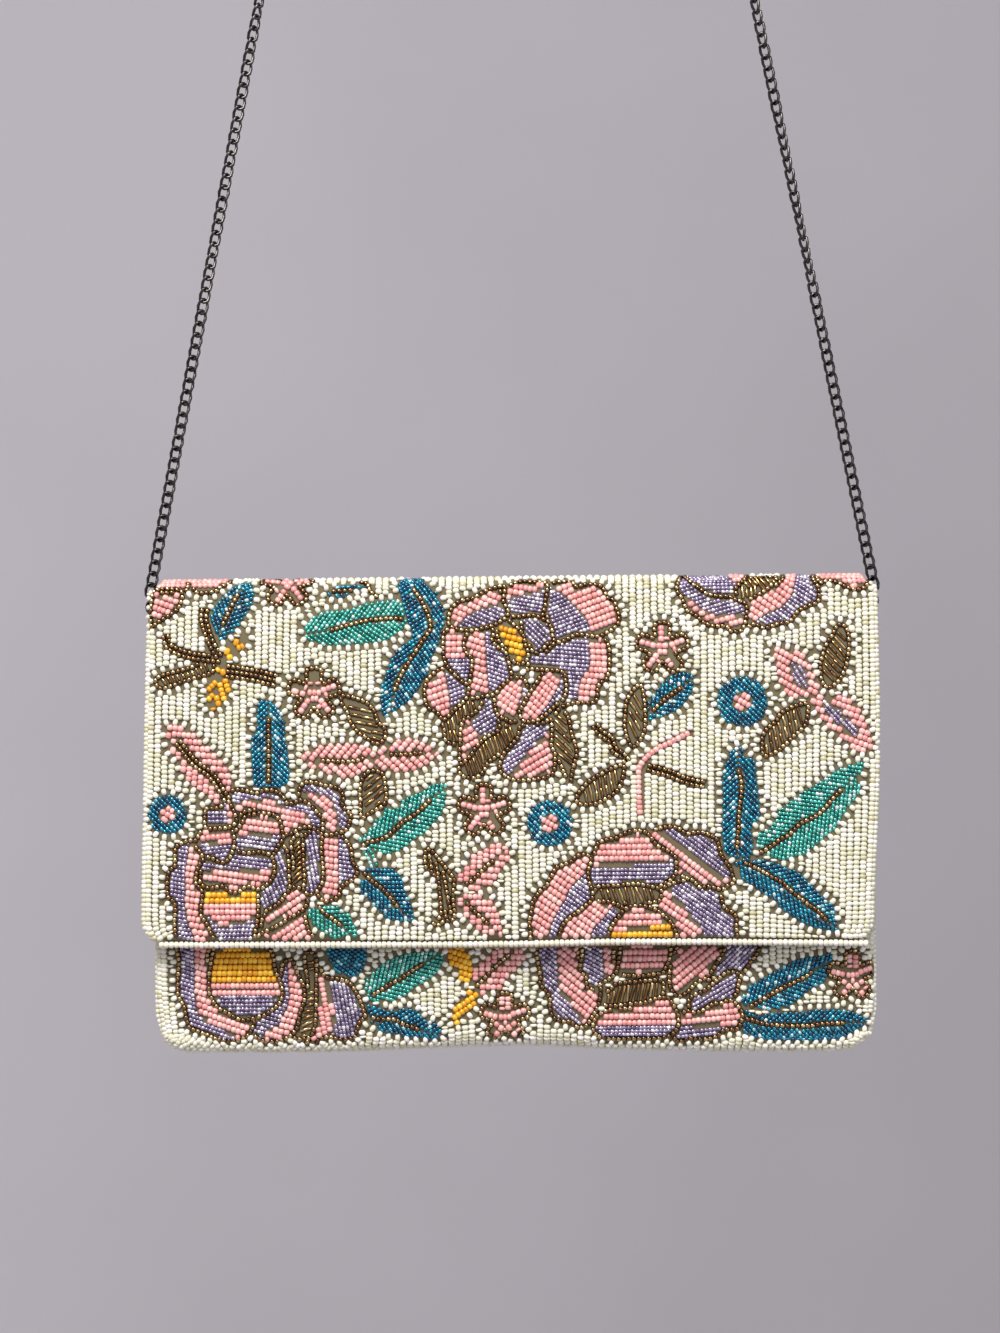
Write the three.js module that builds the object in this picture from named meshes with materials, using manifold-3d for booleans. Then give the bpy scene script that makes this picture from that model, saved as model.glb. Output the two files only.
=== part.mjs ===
// A flap-over evening clutch covered in seed beads, hanging by its chain strap.
// Millimetres, +Z up. The front faces -Y. The origin is the underside of the chain at the top of its loop,
// where a hook, a finger or a shoulder carries it.

import * as THREE from "three";
import { mergeVertices } from "three/addons/utils/BufferGeometryUtils.js";
import Module from "manifold-3d";

// Pouch: a front panel and a back panel, joined at the sides and the bottom by a row of beads.
const POUCH_WIDTH = 245;
const POUCH_HEIGHT = 162;
const POUCH_CORNER = 11;
const MOUTH_DOWN = 14; // from the top of the fold to the free edge of the front panel
const BACK_DEPTH = 8; // from the seam plane to the outside of the back panel, at its fullest
const SIDE_ROUNDING = 3.2;
const BOTTOM_ROUNDING = 5;

// Flap: the back panel carried on over the top and down the front.
const FLAP_OVERHANG = 2; // past each side of the pouch
const FLAP_DROP = 126;
const FLAP_CORNER = 5;
const FLAP_DEPTH = 14.5; // from the seam plane to the outside of the flap, at its fullest
const FLAP_STAND_OFF = 3; // how far the lower edge stands off the pouch
const FLAP_ROLL = 2.2; // how far the flap's side edges roll back
const FLAP_EDGE = 0.4; // what is left flat at a rolled edge
const FOLD_RADIUS = 5;
const CHAIN_ROOM = 1.5; // between the ends of the fold and the chain that passes them

// Cloth with its beads, the flap's lining, and the clearance that touching pieces keep.
const WALL = 2.6;
const LINING = 1;
const LINING_INSET = 8;
const LINING_PEEK = 0.9;
const GAP = 0.3;

// Rows of beads strung along the flap's lower edge and along the seam.
const RIM_BEAD = 2.3;
const SEAM_BEAD = 2.2;
const SEAM_PROUD = 0.6;

// Snap that holds the flap down.
const SNAP_DIAMETER = 14;
const SNAP_THICKNESS = 1.8;
const SNAP_UP = 22; // from the flap's lower edge to the snap's middle

// Chain, and the eye at each side that carries it.
const CHAIN_WIDTH = 4.4;
const CHAIN_BEHIND = 1; // behind the seam plane
const CHAIN_OUT = 1.8; // how far outside the eye's middle the chain takes hold
const HANG_HEIGHT = 569; // from the top of the fold to the hanging point
const LOOP_RADIUS = 12; // of what the chain hangs over
const EYE_RADIUS = 2.6;
const EYE_WIRE = 1.2;
const EYE_INSET = 0.5; // of the eye's middle from the side of the pouch
const EYE_DOWN = 9.6;
const TONGUE_WIDTH = 3.4;
const TONGUE_THICKNESS = 1.8;
const TONGUE_LENGTH = 6;

// The side view, from the fold to the bottom: how full the back and the flap are at each height.
const FULLNESS = [
  { down: 0.03, back: 0, flap: 0 },
  { down: 0.1, back: 0.4, flap: 0.34 },
  { down: 0.3, back: 0.8, flap: 0.72 },
  { down: 0.55, back: 1, flap: 0.93 },
  { down: 0.78, back: 0.95, flap: 1 },
  { down: 1, back: 0.6, flap: 0.86 },
];
// How much of that fullness is left at the side edges.
const SIDE_FULLNESS = 0.6;

// The front view: where the flap and the pouch end, as shares of FLAP_DROP and POUCH_HEIGHT.
const LOWER_EDGES = [
  { across: -1, flap: 0.994, pouch: 0.994 },
  { across: -0.5, flap: 0.996, pouch: 0.996 },
  { across: 0, flap: 0.998, pouch: 0.986 },
  { across: 0.3, flap: 0.995, pouch: 0.997 },
  { across: 0.8, flap: 1.003, pouch: 1.006 },
  { across: 1, flap: 1.008, pouch: 1.002 },
];
// The flap hangs a little askew: its half widths, as shares of FLAP_HALF.
const FLAP_SIDES = [
  { down: 0, left: 1, right: 1 },
  { down: 0.5, left: 1.01, right: 1 },
  { down: 1, left: 1.02, right: 0.978 },
];

// Facets
const EDGE_SPANS = 3;
const MIDDLE_SPANS = 20;
const BOTTOM_SPANS = 4;
const FRONT_SPANS = 11;
const BACK_SPANS = 11;
const FOLD_SPANS = 10;
const FLAP_SPANS = 16;
const ROW_SIDES = 8;
const CHAIN_SIDES = 8;
const LEG_STEPS = 30;
const LOOP_STEPS = 12;

const SEAM_FACE = SEAM_BEAD / 2 + GAP; // where each panel's edge faces the seam beads
const FLAP_HALF = POUCH_WIDTH / 2 + FLAP_OVERHANG;
const SNAP_DOWN = FLAP_DROP - SNAP_UP;
const EYE_X = POUCH_WIDTH / 2 - EYE_INSET;
const CHAIN_END = new THREE.Vector2(EYE_X + CHAIN_OUT, EYE_RADIUS + EYE_WIRE / 2 + 2 * GAP - EYE_DOWN);
const FOLD_HALF = CHAIN_END.x - CHAIN_WIDTH / 2 - CHAIN_ROOM;
const CREAM = { color: 0xe9e4d2, roughness: 0.35, metalness: 0 };
const TAN = { color: 0xa98a58, roughness: 0.6, metalness: 0 };
const GUNMETAL = { color: 0x3d3a38, roughness: 0.3, metalness: 1 };

const wasm = await Module();
wasm.setup();

function mix(from, to, share) {
  return from + (to - from) * share;
}

// A smooth curve through one column of a table, level at its first row.
function through(table, key, column, at) {
  const last = table.length - 1;
  const place = Math.min(Math.max(at, table[0][key]), table[last][key]);
  const slope = (i) =>
    i === 0 || i === last
      ? 0
      : (table[i + 1][column] - table[i - 1][column]) / (table[i + 1][key] - table[i - 1][key]);
  const i = Math.min(Math.max(table.findIndex((row) => row[key] >= place), 1), last) - 1;
  const span = table[i + 1][key] - table[i][key];
  const t = (place - table[i][key]) / span;
  const rise = table[i + 1][column] - table[i][column];
  const bend = t * (1 - t) * ((1 - t) * (slope(i) * span - rise) + t * (rise - slope(i + 1) * span));
  return table[i][column] + rise * t + bend;
}

// How much a rounded corner of this radius takes off the side, this far past the corner's start.
function cornerCut(past, radius) {
  const reach = Math.min(Math.max(past, 0), radius);
  return radius - Math.sqrt(radius * radius - reach * reach);
}

function sideways(x) {
  const share = Math.min(Math.abs(x) / (POUCH_WIDTH / 2), 1);
  return mix(1, SIDE_FULLNESS, share ** 4);
}

// Outer faces, measured from the seam plane.
function backDepth(x, down) {
  const full = through(FULLNESS, "down", "back", down / POUCH_HEIGHT);
  return mix(FOLD_RADIUS, BACK_DEPTH, full * sideways(x));
}

function flapDepth(x, down) {
  const full = through(FULLNESS, "down", "flap", down / POUCH_HEIGHT);
  return mix(FOLD_RADIUS, FLAP_DEPTH, full * sideways(x));
}

function standOff(down) {
  return FLAP_STAND_OFF * Math.min(down / FLAP_DROP, 1) ** 2;
}

function frontDepth(x, down) {
  return flapDepth(x, down) - WALL - LINING - 2 * GAP - standOff(down);
}

// Outlines seen from the front.
function pouchBottom(x) {
  return POUCH_HEIGHT * through(LOWER_EDGES, "across", "pouch", x / (POUCH_WIDTH / 2));
}

function flapEnd(x) {
  return FLAP_DROP * through(LOWER_EDGES, "across", "flap", x / FLAP_HALF);
}

function pouchHalf(down, inset = 0) {
  const corner = Math.max(POUCH_CORNER - inset, 1);
  return POUCH_WIDTH / 2 - inset - cornerCut(down - (POUCH_HEIGHT - inset - corner), corner);
}

// The flap's rows lie closer at the fold and at the lower edge, and its lining keeps to them.
function flapLevel(share) {
  return mix(FOLD_RADIUS, FLAP_DROP - RIM_BEAD - GAP, THREE.MathUtils.smoothstep(share, 0, 1));
}

function flapHalf(side, down) {
  const half = FLAP_HALF * through(FLAP_SIDES, "down", side < 0 ? "left" : "right", down / FLAP_DROP);
  return half - cornerCut(down - (FLAP_DROP - RIM_BEAD - FLAP_CORNER), FLAP_CORNER);
}

function foldHalf(angle) {
  const opened = THREE.MathUtils.smoothstep(angle, 0.64 * Math.PI, Math.PI);
  return mix(FOLD_HALF, FLAP_HALF, opened);
}

// The columns of a panel: level ones across the middle, and turned ones round each side.
function columnsOf(middleSpans, edgeSpans) {
  const columns = [];
  for (let i = 0; i <= middleSpans; i++) {
    columns.push({ across: (2 * i) / middleSpans - 1, turn: 0 });
  }
  for (let i = 1; i <= edgeSpans; i++) {
    const turn = (Math.PI / 2) * (i / edgeSpans);
    columns.push({ across: 1, turn });
    columns.unshift({ across: -1, turn });
  }
  return columns;
}

function columnX(column, half, rounding) {
  return column.across * (half - rounding + rounding * Math.sin(column.turn));
}

// Joins an outer and an inner grid of points into one closed wall.
function wallGeometry(columns, rows, outerPoint, innerPoint) {
  const positions = [];
  const index = [];
  const wide = columns.length;
  const size = wide * rows.length;
  for (const point of [outerPoint, innerPoint]) {
    for (const row of rows) {
      for (const column of columns) {
        positions.push(...point(column, row));
      }
    }
  }
  const at = (row, column) => row * wide + column;
  const quad = (a, b, c, d) => index.push(a, c, b, a, d, c);
  for (let r = 0; r < rows.length - 1; r++) {
    for (let c = 0; c < wide - 1; c++) {
      quad(at(r, c), at(r, c + 1), at(r + 1, c + 1), at(r + 1, c));
      quad(size + at(r, c), size + at(r + 1, c), size + at(r + 1, c + 1), size + at(r, c + 1));
    }
  }
  const border = (a, b) => quad(b, a, size + a, size + b);
  for (let c = 0; c < wide - 1; c++) {
    border(at(0, c), at(0, c + 1));
    border(at(rows.length - 1, c + 1), at(rows.length - 1, c));
  }
  for (let r = 0; r < rows.length - 1; r++) {
    border(at(r + 1, 0), at(r, 0));
    border(at(r, wide - 1), at(r + 1, wide - 1));
  }
  const geometry = new THREE.BufferGeometry();
  geometry.setAttribute("position", new THREE.Float32BufferAttribute(positions, 3));
  geometry.setIndex(index);
  geometry.computeVertexNormals();
  return geometry;
}

// A tube along a curve, for a row of beads or the chain.
function tubeGeometry(curve, diameter, sides, steps) {
  const section = new THREE.Shape(
    Array.from({ length: sides }, (_, i) => {
      const angle = (2 * Math.PI * (i + 0.5)) / sides;
      return new THREE.Vector2(Math.cos(angle), Math.sin(angle)).multiplyScalar(diameter / 2);
    }),
  );
  return new THREE.ExtrudeGeometry(section, { extrudePath: curve, steps, bevelEnabled: false });
}

// The front panel, from its free edge at the mouth down to the seam.
function pouchFront() {
  const rows = [];
  for (let i = 0; i <= FRONT_SPANS; i++) {
    rows.push({ share: i / FRONT_SPANS, turn: 0 });
  }
  for (let i = 1; i <= BOTTOM_SPANS; i++) {
    rows.push({ share: 1, turn: (Math.PI / 2) * (i / BOTTOM_SPANS) });
  }
  const face = (inset) => (column, row) => {
    const rounding = Math.max(BOTTOM_ROUNDING - inset, 1);
    const end = POUCH_HEIGHT - inset - rounding;
    const level = mix(MOUTH_DOWN, end, row.share) + rounding * Math.sin(row.turn);
    const x = columnX(column, pouchHalf(level, inset), Math.max(SIDE_ROUNDING - inset, GAP));
    const down = mix(level, (level * pouchBottom(x)) / POUCH_HEIGHT, row.share);
    const lift = Math.cos(column.turn) * Math.cos(row.turn);
    return [x, -mix(SEAM_FACE, frontDepth(x, level) - inset, lift), -down];
  };
  return wallGeometry(columnsOf(MIDDLE_SPANS, EDGE_SPANS), rows, face(0), face(WALL));
}

// The back panel, the fold and the flap: one wall, from the bottom seam to the flap's lower edge.
function backAndFlap() {
  const rows = [];
  for (let i = BOTTOM_SPANS; i > 0; i--) {
    rows.push({ part: "back", share: 1, turn: (Math.PI / 2) * (i / BOTTOM_SPANS) });
  }
  for (let i = BACK_SPANS; i > 0; i--) {
    rows.push({ part: "back", share: (i / BACK_SPANS) ** 1.3, turn: 0 });
  }
  for (let i = 0; i < FOLD_SPANS; i++) {
    rows.push({ part: "fold", angle: Math.PI * (i / FOLD_SPANS) });
  }
  for (let i = 0; i <= FLAP_SPANS; i++) {
    rows.push({ part: "flap", level: flapLevel(i / FLAP_SPANS) });
  }
  const points = {
    back(column, row, inset) {
      const rounding = Math.max(BOTTOM_ROUNDING - inset, 1);
      const end = POUCH_HEIGHT - inset - rounding;
      const level = mix(FOLD_RADIUS, end, row.share) + rounding * Math.sin(row.turn);
      const open = 1 - THREE.MathUtils.smoothstep(level, FOLD_RADIUS, MOUTH_DOWN + FOLD_RADIUS);
      const sideInset = mix(inset, inset && FLAP_EDGE, open);
      const half = mix(pouchHalf(level, sideInset), foldHalf(0) - sideInset, open);
      const x = columnX(column, half, mix(Math.max(SIDE_ROUNDING - inset, GAP), FLAP_ROLL, open));
      const depth = backDepth(x, level) - inset;
      const edge = mix(SEAM_FACE, depth - (inset ? 0 : FLAP_ROLL), open);
      const down = mix(level, (level * pouchBottom(x)) / POUCH_HEIGHT, row.share);
      return [x, mix(edge, depth, Math.cos(column.turn) * Math.cos(row.turn)), -down];
    },
    fold(column, row, inset) {
      const half = foldHalf(row.angle) - (inset && FLAP_EDGE);
      const x = columnX(column, half, FLAP_ROLL);
      const roll = inset ? 0 : FLAP_ROLL * (1 - Math.cos(column.turn));
      const radius = FOLD_RADIUS - inset - roll;
      return [x, radius * Math.cos(row.angle), radius * Math.sin(row.angle) - FOLD_RADIUS];
    },
    flap(column, row, inset) {
      const { level } = row;
      const side = Math.sign(column.across);
      const x = columnX(column, flapHalf(side, level) - (inset && FLAP_EDGE), FLAP_ROLL);
      const down = mix(level, (level * flapEnd(x)) / FLAP_DROP, level / FLAP_DROP);
      const roll = inset ? 0 : FLAP_ROLL * (1 - Math.cos(column.turn));
      return [x, -(flapDepth(x, level) - inset - roll), -down];
    },
  };
  const face = (inset) => (column, row) => points[row.part](column, row, inset);
  return wallGeometry(columnsOf(MIDDLE_SPANS, EDGE_SPANS), rows, face(0), face(WALL));
}

// The lining under the flap, which shows as a thin line below the rim of beads.
function flapLining() {
  const rows = [{ level: FOLD_RADIUS + WALL }];
  for (let i = 0; i <= FLAP_SPANS; i++) {
    const level = flapLevel(i / FLAP_SPANS);
    if (level > rows[0].level + GAP) {
      rows.push({ level });
    }
  }
  rows.push({ level: FLAP_DROP });
  const face = (inset) => (column, row) => {
    const { level } = row;
    const side = Math.sign(column.across);
    const x = column.across * (flapHalf(side, Math.min(level, FLAP_DROP / 2)) - LINING_INSET);
    const share = level / FLAP_DROP;
    const peek = LINING_PEEK * (Math.cos((Math.PI / 2) * column.across) - 0.5);
    const down = mix(level, (level * flapEnd(x)) / FLAP_DROP, share) + share * peek;
    return [x, -(flapDepth(x, level) - WALL - GAP - inset), -down];
  };
  return wallGeometry(columnsOf(MIDDLE_SPANS, 0), rows, face(0), face(LINING));
}

// The beads strung along the flap's lower edge.
function flapRim() {
  const ends = [-1, 1].map((side) => side * (flapHalf(side, FLAP_DROP / 2) - FLAP_CORNER));
  const points = Array.from({ length: MIDDLE_SPANS + 1 }, (_, i) => {
    const x = mix(ends[0], ends[1], i / MIDDLE_SPANS);
    return new THREE.Vector3(x, WALL / 2 - flapDepth(x, FLAP_DROP), RIM_BEAD / 2 - flapEnd(x));
  });
  return tubeGeometry(new THREE.CatmullRomCurve3(points), RIM_BEAD, ROW_SIDES, 2 * MIDDLE_SPANS);
}

// The beads that close the seam: down one side, along the bottom and up the other.
function seamBeads() {
  const top = EYE_DOWN + EYE_RADIUS + TONGUE_LENGTH + 2 * GAP;
  const inset = SEAM_BEAD / 2 - SEAM_PROUD;
  const lowest = POUCH_HEIGHT - inset;
  const half = POUCH_WIDTH / 2 - inset;
  const radius = POUCH_CORNER - inset;
  const outline = new THREE.Path();
  outline.moveTo(-half, -top);
  outline.lineTo(-half, radius - lowest);
  outline.absarc(radius - half, radius - lowest, radius, Math.PI, 1.5 * Math.PI);
  outline.lineTo(half - radius, -lowest);
  outline.absarc(half - radius, radius - lowest, radius, 1.5 * Math.PI, 2 * Math.PI);
  outline.lineTo(half, -top);
  const points = outline.getSpacedPoints(3 * MIDDLE_SPANS).map(({ x, y }) => {
    const share = -y / POUCH_HEIGHT;
    return new THREE.Vector3(x, 0, mix(y, (y * pouchBottom(x)) / POUCH_HEIGHT, share ** 2));
  });
  return tubeGeometry(new THREE.CatmullRomCurve3(points), SEAM_BEAD, ROW_SIDES, 3 * MIDDLE_SPANS);
}

// The snap between the flap's lining and the front panel, tilted to lie along them.
function magneticSnap() {
  const behindLining = (down) => flapDepth(0, down) - WALL - GAP - LINING;
  const middle = (down) => (behindLining(down) + frontDepth(0, down)) / 2;
  const reach = SNAP_DIAMETER / 2;
  const rise = (middle(SNAP_DOWN + reach) - middle(SNAP_DOWN - reach)) / SNAP_DIAMETER;
  const geometry = new THREE.CylinderGeometry(reach, reach, SNAP_THICKNESS, 24);
  geometry.rotateX(-Math.atan(rise));
  geometry.translate(0, -middle(SNAP_DOWN), -SNAP_DOWN);
  return geometry;
}

function solidOf(geometry) {
  const bare = geometry.clone();
  bare.deleteAttribute("normal");
  bare.deleteAttribute("uv");
  const merged = mergeVertices(bare);
  return new wasm.Manifold(
    new wasm.Mesh({
      numProp: 3,
      vertProperties: new Float32Array(merged.attributes.position.array),
      triVerts: new Uint32Array(merged.index.array),
    }),
  );
}

function geometryOf(solid) {
  const mesh = solid.getMesh();
  const geometry = new THREE.BufferGeometry();
  geometry.setAttribute("position", new THREE.BufferAttribute(mesh.vertProperties, 3));
  geometry.setIndex(new THREE.BufferAttribute(mesh.triVerts, 1));
  geometry.computeVertexNormals();
  return geometry;
}

// An eye for the chain, on a tongue that goes down between the two panels.
function sideEye() {
  const ring = new THREE.TorusGeometry(EYE_RADIUS, EYE_WIRE / 2, ROW_SIDES, 2 * ROW_SIDES);
  const tongue = new THREE.BoxGeometry(TONGUE_WIDTH, TONGUE_THICKNESS, TONGUE_LENGTH);
  tongue.translate(0, 0, -EYE_RADIUS - TONGUE_LENGTH / 2);
  ring.rotateX(Math.PI / 2);
  return geometryOf(solidOf(ring).add(solidOf(tongue)));
}

// The line of the hanging chain: a leg up from one eye, round the hanging point, and a leg down to the other.
class HangingLoop extends THREE.Curve {
  constructor() {
    super();
    this.radius = LOOP_RADIUS + CHAIN_WIDTH / 2;
    this.end = new THREE.Vector2(CHAIN_END.x, CHAIN_END.y + LOOP_RADIUS - HANG_HEIGHT);
    const lean = Math.acos(this.radius / this.end.length());
    this.wrap = this.end.angle() - 2 * Math.PI + lean; // where the right leg leaves the arc
    this.steps = 2 * LEG_STEPS + LOOP_STEPS;
  }

  // Each step is one facet, so the short arc has as many as it needs.
  getUtoTmapping(u) {
    return u;
  }

  onArc(angle) {
    return new THREE.Vector2(Math.cos(angle), Math.sin(angle)).multiplyScalar(this.radius);
  }

  getPoint(t, target = new THREE.Vector3()) {
    const step = t * this.steps;
    const side = step < this.steps / 2 ? -1 : 1;
    const fromEnd = Math.min(step, this.steps - step);
    const leave = this.onArc(this.wrap);
    const place =
      fromEnd < LEG_STEPS
        ? this.end.clone().lerp(leave, fromEnd / LEG_STEPS)
        : this.onArc(mix(this.wrap, Math.PI / 2, (fromEnd - LEG_STEPS) / (LOOP_STEPS / 2)));
    return target.set(side * place.x, 0, place.y - LOOP_RADIUS);
  }
}

function chainStrap() {
  const loop = new HangingLoop();
  return tubeGeometry(loop, CHAIN_WIDTH, CHAIN_SIDES, loop.steps);
}

function meshOf(name, geometry, finish) {
  const mesh = new THREE.Mesh(geometry, new THREE.MeshStandardMaterial(finish));
  mesh.name = name;
  return mesh;
}

const bag = new THREE.Group();
bag.position.set(0, -CHAIN_BEHIND, -HANG_HEIGHT);
bag.add(
  meshOf("pouch_front", pouchFront(), CREAM),
  meshOf("back_and_flap", backAndFlap(), CREAM),
  meshOf("flap_lining", flapLining(), TAN),
  meshOf("flap_rim", flapRim(), CREAM),
  meshOf("seam_beads", seamBeads(), CREAM),
  meshOf("magnetic_snap", magneticSnap(), GUNMETAL),
);
for (const [name, side] of [
  ["side_eye_left", -1],
  ["side_eye_right", 1],
]) {
  const eye = meshOf(name, sideEye(), GUNMETAL);
  eye.position.set(side * EYE_X, 0, -EYE_DOWN);
  bag.add(eye);
}

const clutch = new THREE.Group();
clutch.add(bag, meshOf("chain_strap", chainStrap(), GUNMETAL));

export default clutch;
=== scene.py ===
"""The looks of a beaded clutch that hangs by its chain: its cloth, every bead, the chain, light and camera.

Sizes are in millimetres, and a mesh is scaled to metres when it is made. A place in the pattern is given as
the front view shows it: across from the middle of the bag, to the right, and down from the top of the fold.
"""

import logging
import math
from collections.abc import Callable, Sequence
from dataclasses import dataclass, field
from enum import Enum

import bpy
import numpy as np
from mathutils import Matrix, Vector
from mathutils.bvhtree import BVHTree


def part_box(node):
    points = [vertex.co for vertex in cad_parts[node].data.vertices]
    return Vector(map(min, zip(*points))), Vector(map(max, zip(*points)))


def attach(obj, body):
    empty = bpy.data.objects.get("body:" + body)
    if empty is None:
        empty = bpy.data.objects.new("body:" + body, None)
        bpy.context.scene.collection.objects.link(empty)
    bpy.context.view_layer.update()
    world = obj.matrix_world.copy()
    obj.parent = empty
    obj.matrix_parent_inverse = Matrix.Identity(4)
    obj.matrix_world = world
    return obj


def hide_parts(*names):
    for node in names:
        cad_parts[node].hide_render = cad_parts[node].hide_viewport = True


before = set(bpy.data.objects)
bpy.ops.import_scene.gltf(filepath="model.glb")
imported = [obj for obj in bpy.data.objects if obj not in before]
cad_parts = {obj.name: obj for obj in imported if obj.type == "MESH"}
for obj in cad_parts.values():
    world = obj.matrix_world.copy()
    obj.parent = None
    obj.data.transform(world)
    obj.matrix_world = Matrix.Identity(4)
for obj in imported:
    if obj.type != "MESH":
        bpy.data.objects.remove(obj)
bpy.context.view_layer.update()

MM = 0.001
BODY = "root"
FOLD_RADIUS = 5.0
QUARTER_FOLD = FOLD_RADIUS * math.pi / 2
FAR = 40.0  # how far outside the bag a ray starts
STEP = 0.2  # from sample to sample along a row of beads

Point = tuple[float, float]
Points = Sequence[Point]
Colour = tuple[float, float, float, float]
Piece = bpy.types.Object

log = logging.getLogger("clutch")


class Beads(Enum):
    """The kinds of beads, each named by the record's material slot."""

    CREAM = "cream_beads"
    PINK = "pink_beads"
    LILAC = "lilac_beads"
    MUSTARD = "mustard_beads"
    TEAL = "teal_beads"
    TURQUOISE = "turquoise_beads"
    BRONZE = "bronze_beads"
    BUGLE = "bronze_bugles"


class Lustre(Enum):
    """How a bead's glass takes the light."""

    PEARLY = "opaque glass with a soft shine"
    SILVER_LINED = "clear glass round a bright lining"
    PLATED = "glass under a metal coat"


def shade(red: int, green: int, blue: int) -> Colour:
    """Turns display levels from 0 to 255 into linear light, as Blender's sockets take it."""
    levels = [level / 255 for level in (red, green, blue)]
    linear = [((level + 0.055) / 1.055) ** 2.4 if level > 0.04 else level / 12.92 for level in levels]
    return (*linear, 1.0)


class Value:
    """A number, colour or vector on its way through a material's nodes."""

    def __init__(self, graph: "Graph", socket: bpy.types.NodeSocket) -> None:
        """Wraps an output socket of the graph."""
        self.graph = graph
        self.socket = socket

    def _maths(self, operation: str, left: object, right: object) -> "Value":
        """Adds a Math node and returns its result."""
        return self.graph.node("ShaderNodeMath", {"operation": operation}, {0: left, 1: right})

    def __add__(self, other: object) -> "Value":
        """Adds a value or a number."""
        return self._maths("ADD", self, other)

    def __radd__(self, other: object) -> "Value":
        """Adds this to a number."""
        return self._maths("ADD", other, self)

    def __sub__(self, other: object) -> "Value":
        """Takes a value or a number away."""
        return self._maths("SUBTRACT", self, other)

    def __rsub__(self, other: object) -> "Value":
        """Takes this away from a number."""
        return self._maths("SUBTRACT", other, self)

    def __mul__(self, other: object) -> "Value":
        """Multiplies by a value or a number."""
        return self._maths("MULTIPLY", self, other)

    def __rmul__(self, other: object) -> "Value":
        """Multiplies a number by this."""
        return self._maths("MULTIPLY", other, self)

    def __pow__(self, other: object) -> "Value":
        """Raises to a power."""
        return self._maths("POWER", self, other)


class Graph:
    """The nodes of one material, ending in a Principled shader."""

    def __init__(self, name: str) -> None:
        """Starts an empty material of this name."""
        self.material = bpy.data.materials.new(name)
        self.material.use_nodes = True
        self.tree = self.material.node_tree
        self.tree.nodes.clear()

    def node(
        self, kind: str, settings: dict | None = None, inputs: dict | None = None, output: object = 0
    ) -> Value:
        """Adds one node.

        Args:
            kind: The node's type.
            settings: Its settings, which are set first. The key stops gives a ramp's places and colours.
            inputs: Values or links by a socket's name or number.
            output: The name or number of the output to return.

        Returns:
            The node's output, or its first input where it has no output.
        """
        made = self.tree.nodes.new(kind)
        for key, setting in (settings or {}).items():
            if key == "stops":
                self._stops(made.color_ramp, setting)
            else:
                setattr(made, key, setting)
        for key, value in (inputs or {}).items():
            if isinstance(value, Value):
                self.tree.links.new(value.socket, made.inputs[key])
            else:
                made.inputs[key].default_value = value
        return Value(self, made.outputs[output] if made.outputs else made.inputs[0])

    @staticmethod
    def _stops(ramp: bpy.types.ColorRamp, stops: Sequence[tuple[float, Colour]]) -> None:
        """Sets a ramp's places and colours, from left to right."""
        ramp.elements.remove(ramp.elements[1])
        ramp.elements[0].position, ramp.elements[0].color = stops[0]
        for place, colour in stops[1:]:
            ramp.elements.new(place).color = colour

    def attribute(self, name: str) -> Value:
        """Reads a number stored on the mesh."""
        return self.node("ShaderNodeAttribute", {"attribute_name": name}, output="Fac")

    def place(self) -> Value:
        """Reads the place on the object."""
        return self.node("ShaderNodeTexCoord", output="Object")

    def noise(self, scale: float, detail: float = 2.0) -> Value:
        """Makes a soft cloudy number of this many waves a metre."""
        inputs = {"Vector": self.place(), "Scale": scale, "Detail": detail}
        return self.node("ShaderNodeTexNoise", {}, inputs, "Fac")

    def ramp(self, factor: Value, stops: Sequence[tuple[float, Colour]]) -> Value:
        """Turns a number into a colour."""
        return self.node("ShaderNodeValToRGB", {"stops": stops}, {"Fac": factor}, "Color")

    def blend(self, factor: object, first: object, second: object) -> Value:
        """Mixes two colours."""
        return self.node("ShaderNodeMix", {"data_type": "RGBA"}, {0: factor, 6: first, 7: second}, 2)

    def bump(self, height: Value, strength: float, distance: float) -> Value:
        """Turns a height into a normal, the distance in metres."""
        inputs = {"Height": height, "Strength": strength, "Distance": distance}
        return self.node("ShaderNodeBump", {}, inputs, "Normal")

    def finish(self, inputs: dict) -> bpy.types.Material:
        """Ends the graph in a Principled shader.

        Args:
            inputs: Values or links by the shader's socket names.

        Returns:
            The finished material.
        """
        shader = self.node("ShaderNodeBsdfPrincipled", {}, inputs, "BSDF")
        self.node("ShaderNodeOutputMaterial", {}, {"Surface": shader})
        return self.material


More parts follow.
